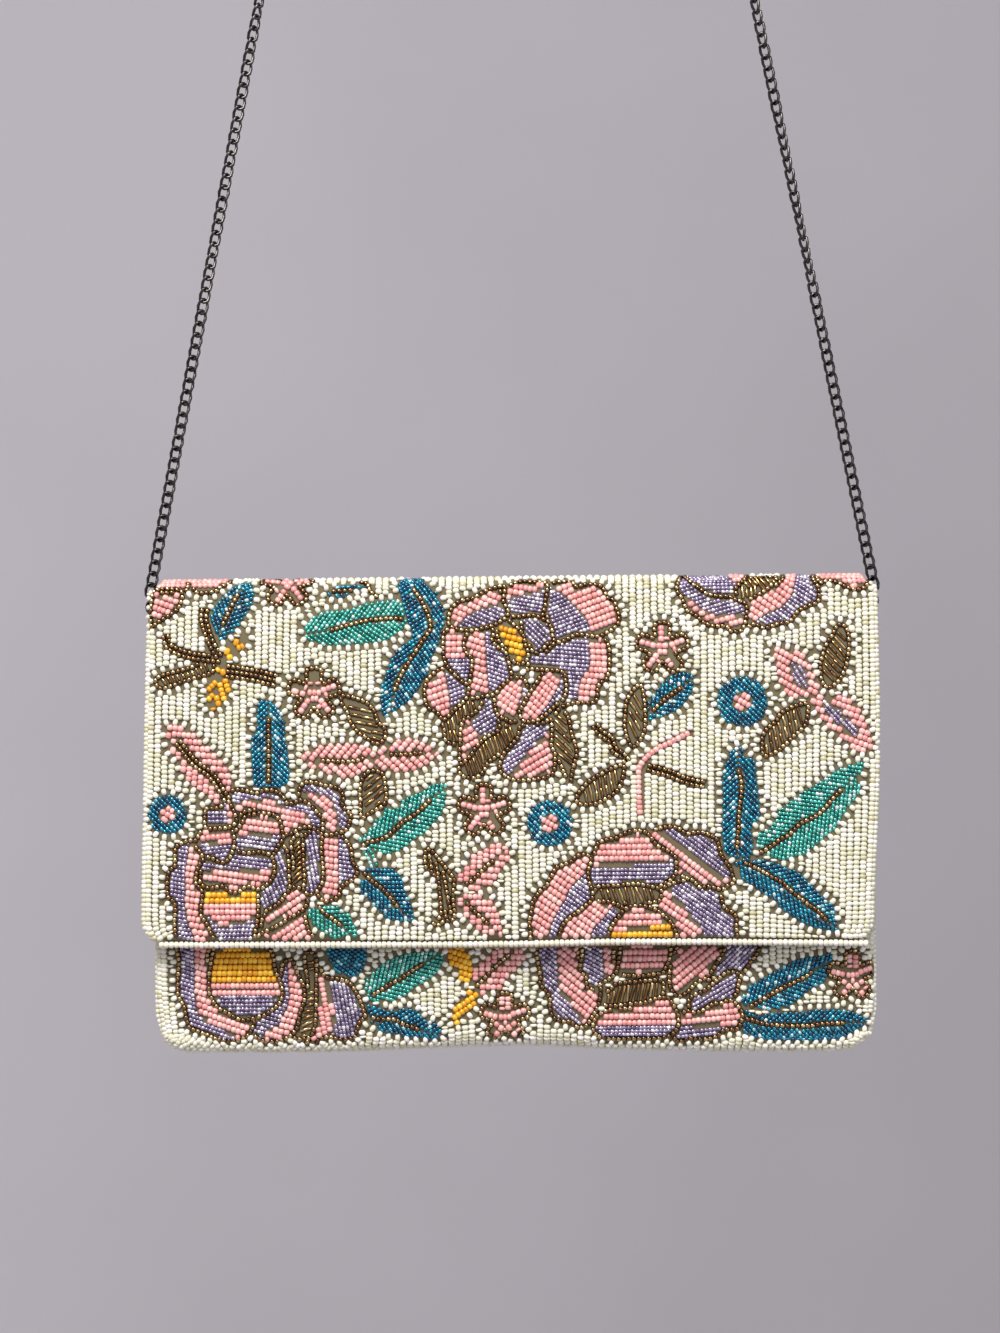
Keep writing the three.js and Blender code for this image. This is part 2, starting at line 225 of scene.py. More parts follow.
@dataclass(frozen=True)
class SeedGlass:
    """The finish of one kind of bead: each bead's tint picks its own colour from the batch, whose palest
    colours are painted glints on silver-lined beads; a plated bead is painted darker toward the cloth and
    brighter on its top, as painted shade and a painted highlight.
    """

    beads: Beads
    batch: tuple[tuple[float, Colour], ...]
    lustre: Lustre = Lustre.PEARLY
    roughness: float = 0.3
    unevenness: float = 0.12  # of the roughness, from bead to bead
    edge: Colour = (0.02, 0.009, 0.004, 1.0)  # painted shade of a plated bead, toward the cloth
    highlight_crest: float = 4.0  # how narrow the painted highlight on top of a plated bead is

    def material(self) -> bpy.types.Material:
        """Makes the finish as a material."""
        graph = Graph(self.beads.value)
        colour = graph.ramp(graph.attribute("tint"), self.batch)
        # painted shade and highlight: a plated bead's colour darkens toward the cloth and brightens on its
        # top
        if self.lustre is Lustre.PLATED:
            height = {0: graph.attribute("crown_shading"), 1: self.highlight_crest}
            crown_shading = graph.node("ShaderNodeMath", {"operation": "POWER"}, height)
            colour = graph.blend(crown_shading, self.edge, colour)
        waves = graph.noise(900.0)
        metallic = {Lustre.PEARLY: 0.0, Lustre.SILVER_LINED: 0.55, Lustre.PLATED: 0.9}[self.lustre]
        coat = {Lustre.PEARLY: 0.35, Lustre.SILVER_LINED: 0.8, Lustre.PLATED: 0.6}[self.lustre]
        return graph.finish(
            {
                "Base Color": colour,
                "Roughness": self.roughness + self.unevenness * (waves - 0.5) * 2.0,
                "Metallic": metallic,
                "Coat Weight": coat,
                "Coat Roughness": 0.12,
                "Normal": graph.bump(waves, 0.25, 0.0002),
            }
        )


@dataclass(frozen=True)
class Weave:
    """A woven cloth: threads both ways, with a soft change of shade."""

    name: str
    dark: Colour
    light: Colour
    thread: float = 0.35  # millimetres from thread to thread
    roughness: float = 0.8
    sheen: float = 0.2

    def material(self) -> bpy.types.Material:
        """Makes the cloth as a material."""
        graph = Graph(self.name)
        waves = 1.0 / (self.thread * MM) * math.pi / 10
        settings = {"wave_type": "BANDS", "wave_profile": "SIN"}
        inputs = {"Vector": graph.place(), "Scale": waves, "Distortion": 0.4, "Detail": 1.0}
        warp = graph.node("ShaderNodeTexWave", {**settings, "bands_direction": "X"}, inputs, "Fac")
        weft = graph.node("ShaderNodeTexWave", {**settings, "bands_direction": "Z"}, inputs, "Fac")
        threads = (warp + weft) * 0.5
        cloudy = graph.noise(60.0, 4.0)
        return graph.finish(
            {
                "Base Color": graph.blend(threads * 0.6 + cloudy * 0.4, self.dark, self.light),
                "Roughness": self.roughness + 0.1 * (cloudy - 0.5),
                "Sheen Weight": self.sheen,
                "Normal": graph.bump(threads, 0.4, 0.0002),
            }
        )


@dataclass(frozen=True)
class DarkSteel:
    """Polished gunmetal plate, a little rubbed."""

    name: str
    dark: Colour
    rubbed: Colour

    def material(self) -> bpy.types.Material:
        """Makes the metal as a material."""
        graph = Graph(self.name)
        wear = graph.noise(180.0, 5.0)
        return graph.finish(
            {
                "Base Color": graph.blend(wear, self.dark, self.rubbed),
                "Metallic": 1.0,
                "Roughness": 0.18 + 0.18 * wear,
                "Normal": graph.bump(graph.noise(1500.0), 0.12, 0.0001),
            }
        )


@dataclass(frozen=True)
class PaintedWall:
    """The mauve grey of the backdrop, softly mottled, with painted light that makes it paler toward its upper
    left, and a painted glow.
    """

    name: str
    deep: Colour
    pale: Colour
    painted_glow: float = 0.3  # painted glow: how much light of its own it adds, as a wall lit from behind
    pale_share: float = 0.6  # of the paler colour, straight behind the bag
    rightward: float = 0.34  # painted light: how much of that share is lost in a metre to the right
    upward: float = 0.22  # painted light: how much comes in a metre up
    level: float = 0.6  # how far the middle of the view lies below the hook, in metres

    def material(self) -> bpy.types.Material:
        """Makes the paint as a material."""
        graph = Graph(self.name)
        x, z = (graph.node("ShaderNodeSeparateXYZ", {}, {0: graph.place()}, axis) for axis in "XZ")
        # painted light: the wall is paler toward the upper left and darker to the right and down, as the
        # light falls on it
        painted_light_slope = self.pale_share - self.rightward * x + self.upward * (z + self.level)
        colour = graph.blend(painted_light_slope + 0.5 * (graph.noise(1.3, 3.0) - 0.5), self.deep, self.pale)
        return graph.finish(
            {
                "Base Color": colour,
                "Roughness": 0.9,
                "Specular IOR Level": 0.1,
                # painted glow: the wall gives off its own colour as light
                "Emission Color": colour,
                "Emission Strength": self.painted_glow,
            }
        )


FINISHES = {
    Beads.CREAM: SeedGlass(
        Beads.CREAM,
        (
            (0.0, shade(196, 190, 150)),
            (0.12, shade(222, 220, 190)),
            (0.55, shade(232, 230, 208)),
            (0.8, shade(240, 238, 222)),
            (1.0, shade(250, 248, 240)),
        ),
        roughness=0.28,
    ),
    Beads.PINK: SeedGlass(
        Beads.PINK,
        ((0.0, shade(226, 152, 148)), (0.5, shade(240, 176, 170)), (1.0, shade(250, 202, 194))),
        roughness=0.26,
    ),
    Beads.MUSTARD: SeedGlass(
        Beads.MUSTARD,
        ((0.0, shade(222, 150, 12)), (0.5, shade(240, 176, 28)), (1.0, shade(252, 204, 60))),
        roughness=0.26,
    ),
    Beads.LILAC: SeedGlass(
        Beads.LILAC,
        (
            (0.0, shade(112, 98, 126)),
            (0.45, shade(160, 146, 176)),
            (0.8, shade(196, 184, 208)),
            # painted glints: the palest beads of the batch stand for light sparkling off the lining
            (0.93, shade(236, 230, 240)),
            (1.0, shade(250, 250, 250)),
        ),
        Lustre.SILVER_LINED,
        0.24,
    ),
    Beads.TEAL: SeedGlass(
        Beads.TEAL,
        (
            (0.0, shade(0, 70, 100)),
            (0.5, shade(0, 112, 142)),
            (0.85, shade(20, 150, 176)),
            # painted glints: the palest beads of the batch stand for light sparkling off the lining
            (0.93, shade(150, 214, 224)),
            (1.0, shade(240, 250, 250)),
        ),
        Lustre.SILVER_LINED,
        0.24,
    ),
    Beads.TURQUOISE: SeedGlass(
        Beads.TURQUOISE,
        (
            (0.0, shade(20, 128, 118)),
            (0.5, shade(64, 178, 162)),
            (0.85, shade(110, 206, 190)),
            # painted glints: the palest beads of the batch stand for light sparkling off the lining
            (0.93, shade(190, 234, 224)),
            (1.0, shade(245, 252, 250)),
        ),
        Lustre.SILVER_LINED,
        0.24,
    ),
    Beads.BRONZE: SeedGlass(
        Beads.BRONZE,
        # the batch colour shows on each bead's top: partly the metal's own colour, partly painted highlight
        ((0.0, shade(120, 82, 42)), (0.5, shade(178, 134, 80)), (1.0, shade(250, 220, 160))),
        Lustre.PLATED,
        0.26,
    ),
    Beads.BUGLE: SeedGlass(
        Beads.BUGLE,
        # the batch colour shows on each tube's top: partly the metal's own colour, partly painted highlight
        ((0.0, shade(132, 88, 38)), (0.5, shade(186, 136, 68)), (1.0, shade(250, 214, 144))),
        Lustre.PLATED,
        0.24,
    ),
}
# a dark olive brown, darker than the tan cloth: partly its own colour, partly painted shade for the gaps
# between the beads
BASE_CLOTH = Weave("base_cloth", shade(84, 76, 52), shade(122, 112, 82))
GOLD_LINING = Weave("gold_lining", shade(140, 106, 58), shade(190, 152, 92), 0.25, 0.45, 0.5)
GUNMETAL = DarkSteel("gunmetal", shade(52, 50, 50), shade(98, 94, 92))
# the backdrop's darker and paler tones, between which its painted light and its mottling blend
BACKDROP = PaintedWall("backdrop", shade(168, 166, 170), shade(200, 197, 201))


class Bench:
    """The modelling bench: primitives that are added with bpy.ops and shaped in edit mode."""

    @staticmethod
    def clear() -> None:
        """Deselects everything, so that an operator acts on the new piece alone."""
        bpy.ops.object.select_all(action="DESELECT")

    @staticmethod
    def take(name: str) -> Piece:
        """Names the piece that was just added."""
        piece = bpy.context.active_object
        piece.name = name
        piece.data.name = name
        return piece

    @staticmethod
    def pick(piece: Piece, test: Callable[[Vector], bool]) -> None:
        """Selects the points that pass a test, with the edges and faces between them, and enters edit mode.

        Args:
            piece: The piece to edit.
            test: Says of a point whether it is selected.
        """
        bpy.context.view_layer.objects.active = piece
        piece.select_set(True)
        mesh = piece.data
        chosen = [test(vertex.co) for vertex in mesh.vertices]
        mesh.vertices.foreach_set("select", chosen)
        for part in (*mesh.edges, *mesh.polygons):
            part.select = all(chosen[i] for i in part.vertices)
        bpy.context.tool_settings.mesh_select_mode = (True, False, False)
        bpy.ops.object.mode_set(mode="EDIT")

    @staticmethod
    def done() -> None:
        """Leaves edit mode."""
        bpy.ops.object.mode_set(mode="OBJECT")

    @staticmethod
    def modify(piece: Piece, kind: str, **settings: object) -> None:
        """Adds a modifier and applies it.

        Args:
            piece: The piece that it changes.
            kind: The modifier's type.
            settings: The modifier's settings by name.
        """
        Bench.clear()
        bpy.context.view_layer.objects.active = piece
        piece.select_set(True)
        modifier = piece.modifiers.new(kind.title(), kind)
        for key, setting in settings.items():
            setattr(modifier, key, setting)
        bpy.ops.object.modifier_apply(modifier=modifier.name)


@dataclass
class Pattern:
    """A small shape that is repeated: its points and faces as arrays."""

    points: np.ndarray
    corners: np.ndarray
    starts: np.ndarray

    @staticmethod
    def of(piece: Piece) -> "Pattern":
        """Reads a modelled piece and removes it from the scene."""
        mesh = piece.data
        points = np.array([vertex.co for vertex in mesh.vertices])
        corners = np.array([i for polygon in mesh.polygons for i in polygon.vertices])
        starts = np.array([polygon.loop_start for polygon in mesh.polygons])
        bpy.data.objects.remove(piece)
        return Pattern(points, corners, starts)

    @property
    def triangles(self) -> int:
        """How many triangles one copy has."""
        return len(self.corners) - 2 * len(self.starts)


@dataclass(frozen=True)
class BeadForm:
    """One kind of bead: its size, how closely it is strung and how closely its rows lie."""

    length: float
    width: float
    pitch: float
    rows: float
    sides: int = 8
    rim: float = 0.17  # of the width, rounded at each end
    whole: bool = False  # a strung bead, and not the half that stands out of the cloth

    def model(self) -> Pattern:
        """Models one bead lying along X, with its base in the XY plane unless it is whole."""
        Bench.clear()
        turned = (0.0, math.pi / 2, 0.0)
        bpy.ops.mesh.primitive_cylinder_add(
            vertices=self.sides, radius=self.width / 2, depth=self.length, rotation=turned
        )
        bpy.ops.object.transform_apply(location=True, rotation=True, scale=True)
        bead = Bench.take("bead")
        end = self.length / 2 - 0.01
        Bench.pick(bead, lambda point: abs(point.x) > end)
        bpy.ops.mesh.select_mode(type="EDGE")
        self._keep_rims(bead)
        bpy.ops.mesh.bevel(offset=self.rim * self.width, segments=1, affect="EDGES")
        if not self.whole:
            bpy.ops.mesh.select_all(action="SELECT")
            bpy.ops.mesh.bisect(plane_co=(0, 0, 0), plane_no=(0, 0, 1), use_fill=True, clear_inner=True)
        bpy.ops.mesh.select_all(action="SELECT")
        bpy.ops.mesh.remove_doubles(threshold=0.01)
        bpy.ops.mesh.normals_make_consistent(inside=False)
        Bench.done()
        return Pattern.of(bead)

    @staticmethod
    def _keep_rims(bead: Piece) -> None:
        """Leaves only the two end rims selected."""
        bpy.ops.object.mode_set(mode="OBJECT")
        for edge in bead.data.edges:
            first, second = (bead.data.vertices[i].co for i in edge.vertices)
            edge.select = abs(first.x - second.x) < 0.01
        for polygon in bead.data.polygons:
            polygon.select = False
        bpy.ops.object.mode_set(mode="EDIT")


FORMS = {
    Beads.CREAM: BeadForm(1.64, 2.56, 1.58, 2.371),
    Beads.PINK: BeadForm(1.74, 2.24, 1.7, 2.08),
    Beads.MUSTARD: BeadForm(1.74, 2.24, 1.7, 2.08),
    Beads.LILAC: BeadForm(1.42, 1.5, 1.38, 1.34, 6),
    Beads.TEAL: BeadForm(1.42, 1.5, 1.38, 1.34, 6),
    Beads.TURQUOISE: BeadForm(1.42, 1.5, 1.38, 1.34, 6),
    Beads.BRONZE: BeadForm(1.66, 1.86, 1.7, 1.75),
    Beads.BUGLE: BeadForm(4.1, 1.3, 4.2, 1.5, 8, 0.1),
}
BACK_FORM = BeadForm(1.64, 2.56, 1.58, 2.371, 6)


@dataclass
class Places:
    """Where the copies of a bead go: middles, frames of three axes, scales along them, and tints."""

    middle: np.ndarray
    axes: np.ndarray
    scale: np.ndarray
    tint: np.ndarray

    def part(self, chosen: np.ndarray) -> "Places":
        """Keeps the chosen places."""
        return Places(self.middle[chosen], self.axes[chosen], self.scale[chosen], self.tint[chosen])


def strew(name: str, pattern: Pattern, places: Places) -> Piece:
    """Joins a copy of the pattern at every place into one mesh.

    Args:
        name: The new piece's name.
        pattern: The shape that is copied, in millimetres.
        places: Where the copies go.

    Returns:
        The new piece, in metres.
    """
    count, size = len(places.middle), len(pattern.points)
    shaped = pattern.points[None] * places.scale[:, None, :]
    points = places.middle[:, None, :] + np.einsum("nvk,nki->nvi", shaped, places.axes)
    corners = (pattern.corners[None] + size * np.arange(count)[:, None]).ravel().astype(np.int32)
    starts = (pattern.starts[None] + len(pattern.corners) * np.arange(count)[:, None]).ravel()
    mesh = bpy.data.meshes.new(name)
    mesh.vertices.add(count * size)
    mesh.vertices.foreach_set("co", (points * MM).ravel().astype(np.float32))
    mesh.loops.add(len(corners))
    mesh.loops.foreach_set("vertex_index", corners)
    mesh.polygons.add(len(starts))
    mesh.polygons.foreach_set("loop_start", starts.astype(np.int32))
    mesh.update(calc_edges=True)
    mesh.polygons.foreach_set("use_smooth", np.ones(len(starts), bool))
    tint = mesh.attributes.new("tint", "FLOAT", "POINT")
    tint.data.foreach_set("value", np.repeat(places.tint, size).astype(np.float32))
    # each point's height in the bead, which paints shade toward the cloth and a highlight on top of plated
    # beads
    height = np.clip(pattern.points[:, 2] / pattern.points[:, 2].max(), 0, 1)
    crown_shading = mesh.attributes.new("crown_shading", "FLOAT", "POINT")
    crown_shading.data.foreach_set("value", np.tile(height, count).astype(np.float32))
    piece = bpy.data.objects.new(name, mesh)
    bpy.context.scene.collection.objects.link(piece)
    return piece


def dress(piece: Piece, material: bpy.types.Material, slot: str, *nodes: str) -> Piece:
    """Gives a piece its material, hangs it on the bag's body and hides the CAD nodes that it stands for.

    Args:
        piece: The piece to dress.
        material: Its finish.
        slot: The record's slot that the finish belongs to; not used.
        nodes: The CAD nodes that it stands for.

    Returns:
        The same piece.
    """
    piece.data.materials.clear()
    piece.data.materials.append(material)
    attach(piece, BODY)
    if nodes:
        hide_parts(*nodes)
    return piece


def report(piece: Piece) -> None:
    """Reports a finished piece and how many triangles it has."""
    piece.data.calc_loop_triangles()
    log.info("%s: %d triangles", piece.name, len(piece.data.loop_triangles))


class Solid:
    """A CAD node's faces, in millimetres, ready for rays."""

    def __init__(self, name: str) -> None:
        """Reads the node's mesh."""
        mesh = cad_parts[name].data
        points = np.empty(3 * len(mesh.vertices), np.float32)
        mesh.vertices.foreach_get("co", points)
        self.points = points.reshape(-1, 3).astype(float) / MM
        faces = [tuple(polygon.vertices) for polygon in mesh.polygons]
        self.tree = BVHTree.FromPolygons(self.points.tolist(), faces)
        low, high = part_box(name)
        self.low = np.array(low) / MM
        self.high = np.array(high) / MM

    def toward(self, aim: np.ndarray, out: np.ndarray) -> np.ndarray | None:
        """Finds the outer face on the way to a place.

        Args:
            aim: The place that the ray ends at.
            out: The unit direction that the ray comes from.

        Returns:
            The place on the face, or None where the ray meets nothing.
        """
        for aside in (0.0, 0.03, -0.03):  # a ray can slip through just where two faces meet
            start = Vector(aim + FAR * out + (aside, 0.0, aside))
            found, _, _, _ = self.tree.ray_cast(start, Vector(-out), FAR)
            if found is not None:
                return np.array(found)
        return None


def seam_depth() -> float:
    """The place along Y of the plane between the two panels."""
    low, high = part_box("seam_beads")
    return (low.y + high.y) / 2 / MM


def fold_top() -> float:
    """The height of the top of the fold."""
    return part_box("back_and_flap")[1].z / MM


def unrolled(down: np.ndarray) -> np.ndarray:
    """Turns a distance below the fold's top in the front view into a length along the cloth."""
    rolled = FOLD_RADIUS * np.arccos(1 - np.clip(down, 0, FOLD_RADIUS) / FOLD_RADIUS)
    return np.where(down <= 0, down, np.where(down < FOLD_RADIUS, rolled, QUARTER_FOLD + down - FOLD_RADIUS))


@dataclass
class Skin:
    """The outer face of one side of the bag, read from the CAD wall by rays.

    A place on it is across, from the middle to the right as seen from the front, and along, down the cloth
    from the top of the fold. Columns of samples turn round the side edges, and rows turn over the fold or
    under the bottom.
    """

    node: str
    out: float  # -1 for a face that is seen from the front, 1 from the back
    start: float  # where the rows start, along the cloth
    turn: float  # how wide the rounding at the sides is
    deep_turn: bool  # whether that rounding goes back to the seam
    bottom: float = 0.0  # how high the rounding at the bottom is
    flat_columns: int = 62
    turned_columns: int = 5
    face_rows: int = 34
    fold_rows: int = 14
    bottom_rows: int = 5
    seam_gap: float = 1.4
    solid: Solid = field(init=False)

    def __post_init__(self) -> None:
        """Reads the face."""
        self.solid = Solid(self.node)
        self.seam = seam_depth()
        self.top = fold_top()
        self._read_outline()
        self._read_grid()

    def _aim(self, along: float) -> tuple[np.ndarray, np.ndarray]:
        """The place that the rays of a row end at, at the middle of the bag, and where they come from."""
        if abs(along) <= QUARTER_FOLD and self.start < 0:
            angle = along / FOLD_RADIUS
            way = np.array([0, -math.sin(angle), math.cos(angle)])
            return np.array([0, self.seam, self.top - FOLD_RADIUS]), way
        down = along - QUARTER_FOLD + FOLD_RADIUS
        return np.array([0, self.seam, self.top - down]), np.array([0, self.out, 0.0])

    def _meets(self, x: float, along: float) -> bool:
        """Says whether a ray at this place meets the wall."""
        aim, out = self._aim(along)
        return self.solid.toward(aim + np.array([x, 0, 0]), out) is not None

    @staticmethod
    def _reach(inside: float, outside: float, hit: Callable[[float], bool]) -> float:
        """Finds the edge between a place that meets the wall and one that misses it, by halving.

        Args:
            inside: A place that meets the wall.
            outside: A place that misses it.
            hit: Says whether a place meets the wall.

        Returns:
            The edge between them.
        """
        for _ in range(16):
            middle = (inside + outside) / 2
            if hit(middle):
                inside = middle
            else:
                outside = middle
        return inside

    def _read_outline(self) -> None:
        """Finds the lower edge for each place across, and the side edges for each place along."""
        low, high = self.solid.low[0], self.solid.high[0]
        self.across = np.linspace(low + 8, high - 8, 41)
        deepest = self.top - self.solid.low[2] + QUARTER_FOLD + 9
        ends = [self._reach(100.0, deepest, lambda along: self._meets(x, along)) for x in self.across]
        self.ends = np.array(ends)
        last = min(self.ends[0], self.ends[-1]) - 0.2
        self.levels = np.linspace(self.start + 0.05, last, 150)
        self.halves = np.array(
            [
                [self._reach(100.0, 140.0, lambda x: self._meets(side * x, along)) for side in (-1, 1)]
                for along in self.levels
            ]
        )

    def _half(self, along: float, side: int) -> float:
        """How far a side edge is from the middle."""
        return float(np.interp(along, self.levels, self.halves[:, side]))

    def _end(self, x: float) -> float:
        """Where the face ends, or where it starts to turn under."""
        return float(np.interp(x, self.across, self.ends)) - self.bottom

    def _read_grid(self) -> None:
        """Samples the face on its grid of rows and columns."""
        rows = []
        if self.start < 0:
            rows += [("fold", i / self.fold_rows) for i in range(self.fold_rows)]
        rows += [("face", i / self.face_rows) for i in range(self.face_rows + 1)]
        if self.bottom:
            rows += [("bottom", (i + 1) / self.bottom_rows) for i in range(self.bottom_rows)]
        self.kinds = [kind for kind, _ in rows]
        flat, turned = self.flat_columns, self.turned_columns
        self.grid = np.zeros((len(rows), flat + 1 + 2 * turned, 3))
        self.flat_half = np.zeros((len(rows), 2))
        self.arc = np.zeros((len(rows), 2))
        self.edge_along = np.zeros((len(rows), 2))
        for r, (kind, share) in enumerate(rows):
            self._read_row(r, kind, share)
        self._smooth()
        self._place_knots()

    def _row_aim(self, kind: str, share: float, x: float) -> tuple[np.ndarray, np.ndarray, float]:
        """The aim and direction of a ray in a row, and the place along the cloth."""
        begin = QUARTER_FOLD if self.start < 0 else self.start
        end = self._end(x)
        if kind == "fold":
            along = self.start + share * (QUARTER_FOLD - self.start)
        elif kind == "face":
            along = begin + share * (end - begin - (0.0 if self.bottom else 0.15))
        else:
            along = end
        aim, out = self._aim(along)
        if kind == "bottom":
            angle = share * math.radians(88)
            aim = aim + np.array([0, self.out * self.seam_gap, 0])
            out = np.array([0, self.out * math.cos(angle), -math.sin(angle)])
            along += self.bottom * math.sin(angle)
        return aim + np.array([x, 0, 0]), out, along

    def _read_row(self, r: int, kind: str, share: float) -> None:
        """Samples one row: the flat columns, and then the turned ones at each side."""
        flat, turned = self.flat_columns, self.turned_columns
        for side in (0, 1):
            sign = 2 * side - 1
            along = self._row_aim(kind, share, sign * 115.0)[2]
            self.edge_along[r, side] = along
            self.flat_half[r, side] = self._half(along, side) - self.turn
            for i in range(flat // 2 + 1):
                column = turned + flat // 2 + sign * i
                x = sign * self.flat_half[r, side] * i / (flat // 2)
                aim, out, _ = self._row_aim(kind, share, x)
                found = self.solid.toward(aim, out)
                self.grid[r, column] = self.grid[r, column - sign] if found is None else found
            self._turn_row(r, sign, *self._row_aim(kind, share, sign * self.flat_half[r, side])[:2])

    def _turn_row(self, r: int, sign: int, aim: np.ndarray, out: np.ndarray) -> None:
        """Samples the columns that turn round a side edge, at even steps along the cloth."""
        flat, turned = self.flat_columns, self.turned_columns
        edge = turned + flat // 2 + sign * (flat // 2)
        face = self.grid[r, edge]
        depth = float(np.dot(face - aim, out))
        inner = self.seam_gap if self.deep_turn else depth - self.turn
        if self.kinds[r] == "bottom":
            inner = 0.0
        centre = aim + out * inner
        points = [face]
        for angle in np.radians(np.linspace(0, 88, 13))[1:]:
            way = math.cos(angle) * out + math.sin(angle) * np.array([sign, 0, 0])
            found = self.solid.toward(centre, way)
            points.append(points[-1] if found is None else found)
        points = np.array(points)
        length = np.concatenate([[0], np.cumsum(np.linalg.norm(np.diff(points, axis=0), axis=1))])
        self.arc[r, (sign + 1) // 2] = max(length[-1], 0.5)  # the wall can end before its turn
        even = np.linspace(0, length[-1], turned + 1)[1:]
        for i, at in enumerate(even):
            point = [np.interp(at, length, points[:, axis]) for axis in range(3)]
            self.grid[r, edge + sign * (i + 1)] = point

    def _smooth(self) -> None:
        """Softens the facets of the CAD wall on the face, without moving its edges."""
        face = [r for r, kind in enumerate(self.kinds) if kind == "face"]
        rows = slice(face[0] + 1, face[-1])
        columns = slice(self.turned_columns + 1, self.turned_columns + self.flat_columns)
        depth = self.grid[:, :, 1]
        for _ in range(4):
            around = depth[:-2, 1:-1] + depth[2:, 1:-1] + depth[1:-1, :-2] + depth[1:-1, 2:]
            softer = depth.copy()
            softer[1:-1, 1:-1] = (4 * depth[1:-1, 1:-1] + around) / 8
            depth[rows, columns] = softer[rows, columns]

    def _place_knots(self) -> None:
        """Notes which place along the cloth each kind of row starts and ends at, for every column."""
        self.column_x = self.grid[len(self.kinds) // 2, :, 0]
        size = len(self.column_x)
        ends = np.array([self._end(value) for value in self.column_x])
        face = [r for r, kind in enumerate(self.kinds) if kind == "face"]
        knots = [(face[0], np.full(size, max(self.start, QUARTER_FOLD))), (face[-1], ends)]
        if self.start < 0:
            knots.insert(0, (0, np.full(size, self.start)))
        if self.bottom:
            under = np.linalg.norm(np.diff(self.grid[face[-1] :], axis=0), axis=2).sum(axis=0)
            knots.append((len(self.kinds) - 1, ends + np.maximum(under, 1.0)))
        self.knot_rows = [row for row, _ in knots]
        self.knots = np.array([place for _, place in knots])
        self.normals = self._normals()

    def _normals(self) -> np.ndarray:
        """The directions out of the cloth at the samples."""
        sideways = np.gradient(self.grid, axis=1)
        downward = np.gradient(self.grid, axis=0)
        normal = -self.out * np.cross(downward, sideways)
        size = np.linalg.norm(normal, axis=2, keepdims=True)
        plain = np.array([0.0, self.out, 0.0])
        return np.where(size > 1e-6, normal / np.maximum(size, 1e-9), plain)

    def finish_line(self, across: np.ndarray) -> np.ndarray:
        """Where the face ends along the cloth, at places across it."""
        return np.interp(across, self.column_x, self.knots[-1])

    def _edges(self, along: np.ndarray) -> tuple[np.ndarray, np.ndarray]:
        """The flat half widths and the lengths of the rounding, left and right, at places along the cloth."""
        sides = [self.edge_along[:, side] for side in (0, 1)]
        half = np.array([np.interp(along, sides[side], self.flat_half[:, side]) for side in (0, 1)])
        arc = np.array([np.interp(along, sides[side], self.arc[:, side]) for side in (0, 1)])
        return half, arc

    def width(self, along: np.ndarray) -> np.ndarray:
        """How far the cloth reaches to the left and to the right, measured on it, at places along it."""
        half, arc = self._edges(along)
        return half + arc

    def frames(self, across: np.ndarray, along: np.ndarray) -> tuple[np.ndarray, np.ndarray]:
        """Finds places on the face and their frames.

        Args:
            across: Places across the cloth.
            along: Places along the cloth.

        Returns:
            The places, and for each the directions across, along and out as rows.
        """
        half_columns = self.flat_columns // 2
        side = (across > 0).astype(int)
        each = np.arange(len(across))
        half, arc = (values[side, each] for values in self._edges(along))
        reach = np.abs(across)
        turned = half_columns + (reach - half) / arc * self.turned_columns
        steps = np.where(reach <= half, reach / half * half_columns, turned)
        column = self.turned_columns + half_columns + np.sign(across) * steps
        column = np.clip(column, 0, self.grid.shape[1] - 1.001)
        c = column.astype(int)
        right = column - c
        row = np.clip(self._row_of(along, c, right), 0, self.grid.shape[0] - 1.001)
        r = row.astype(int)
        lower = row - r
        place, normal, downward = (
            self._between(values, r, c, lower, right)
            for values in (self.grid, self.normals, np.gradient(self.grid, axis=0))
        )
        normal /= np.maximum(np.linalg.norm(normal, axis=1, keepdims=True), 1e-9)
        downward -= normal * np.sum(downward * normal, axis=1, keepdims=True)
        downward /= np.maximum(np.linalg.norm(downward, axis=1, keepdims=True), 1e-9)
        sideways = -self.out * np.cross(normal, downward)
        return place, np.stack([sideways, downward, normal], axis=1)

    def _row_of(self, along: np.ndarray, c: np.ndarray, right: np.ndarray) -> np.ndarray:
        """The grid row, with its fraction, of places along the cloth in some columns."""
        knots = self.knots[:, c] * (1 - right) + self.knots[:, c + 1] * right
        row = np.zeros_like(along)
        for k in range(len(self.knot_rows) - 1):
            share = (along - knots[k]) / (knots[k + 1] - knots[k])
            reached = self.knot_rows[k] + np.clip(share, 0, 1) * (self.knot_rows[k + 1] - self.knot_rows[k])
            row = np.where((share > 0) | (k == 0), reached, row)
        return row

    @staticmethod
    def _between(
        values: np.ndarray, r: np.ndarray, c: np.ndarray, lower: np.ndarray, right: np.ndarray
    ) -> np.ndarray:
        """Reads values between four samples, by the shares to the right and below."""
        above = values[r, c] * (1 - right)[:, None] + values[r, c + 1] * right[:, None]
        below = values[r + 1, c] * (1 - right)[:, None] + values[r + 1, c + 1] * right[:, None]
        return above * (1 - lower)[:, None] + below * lower[:, None]


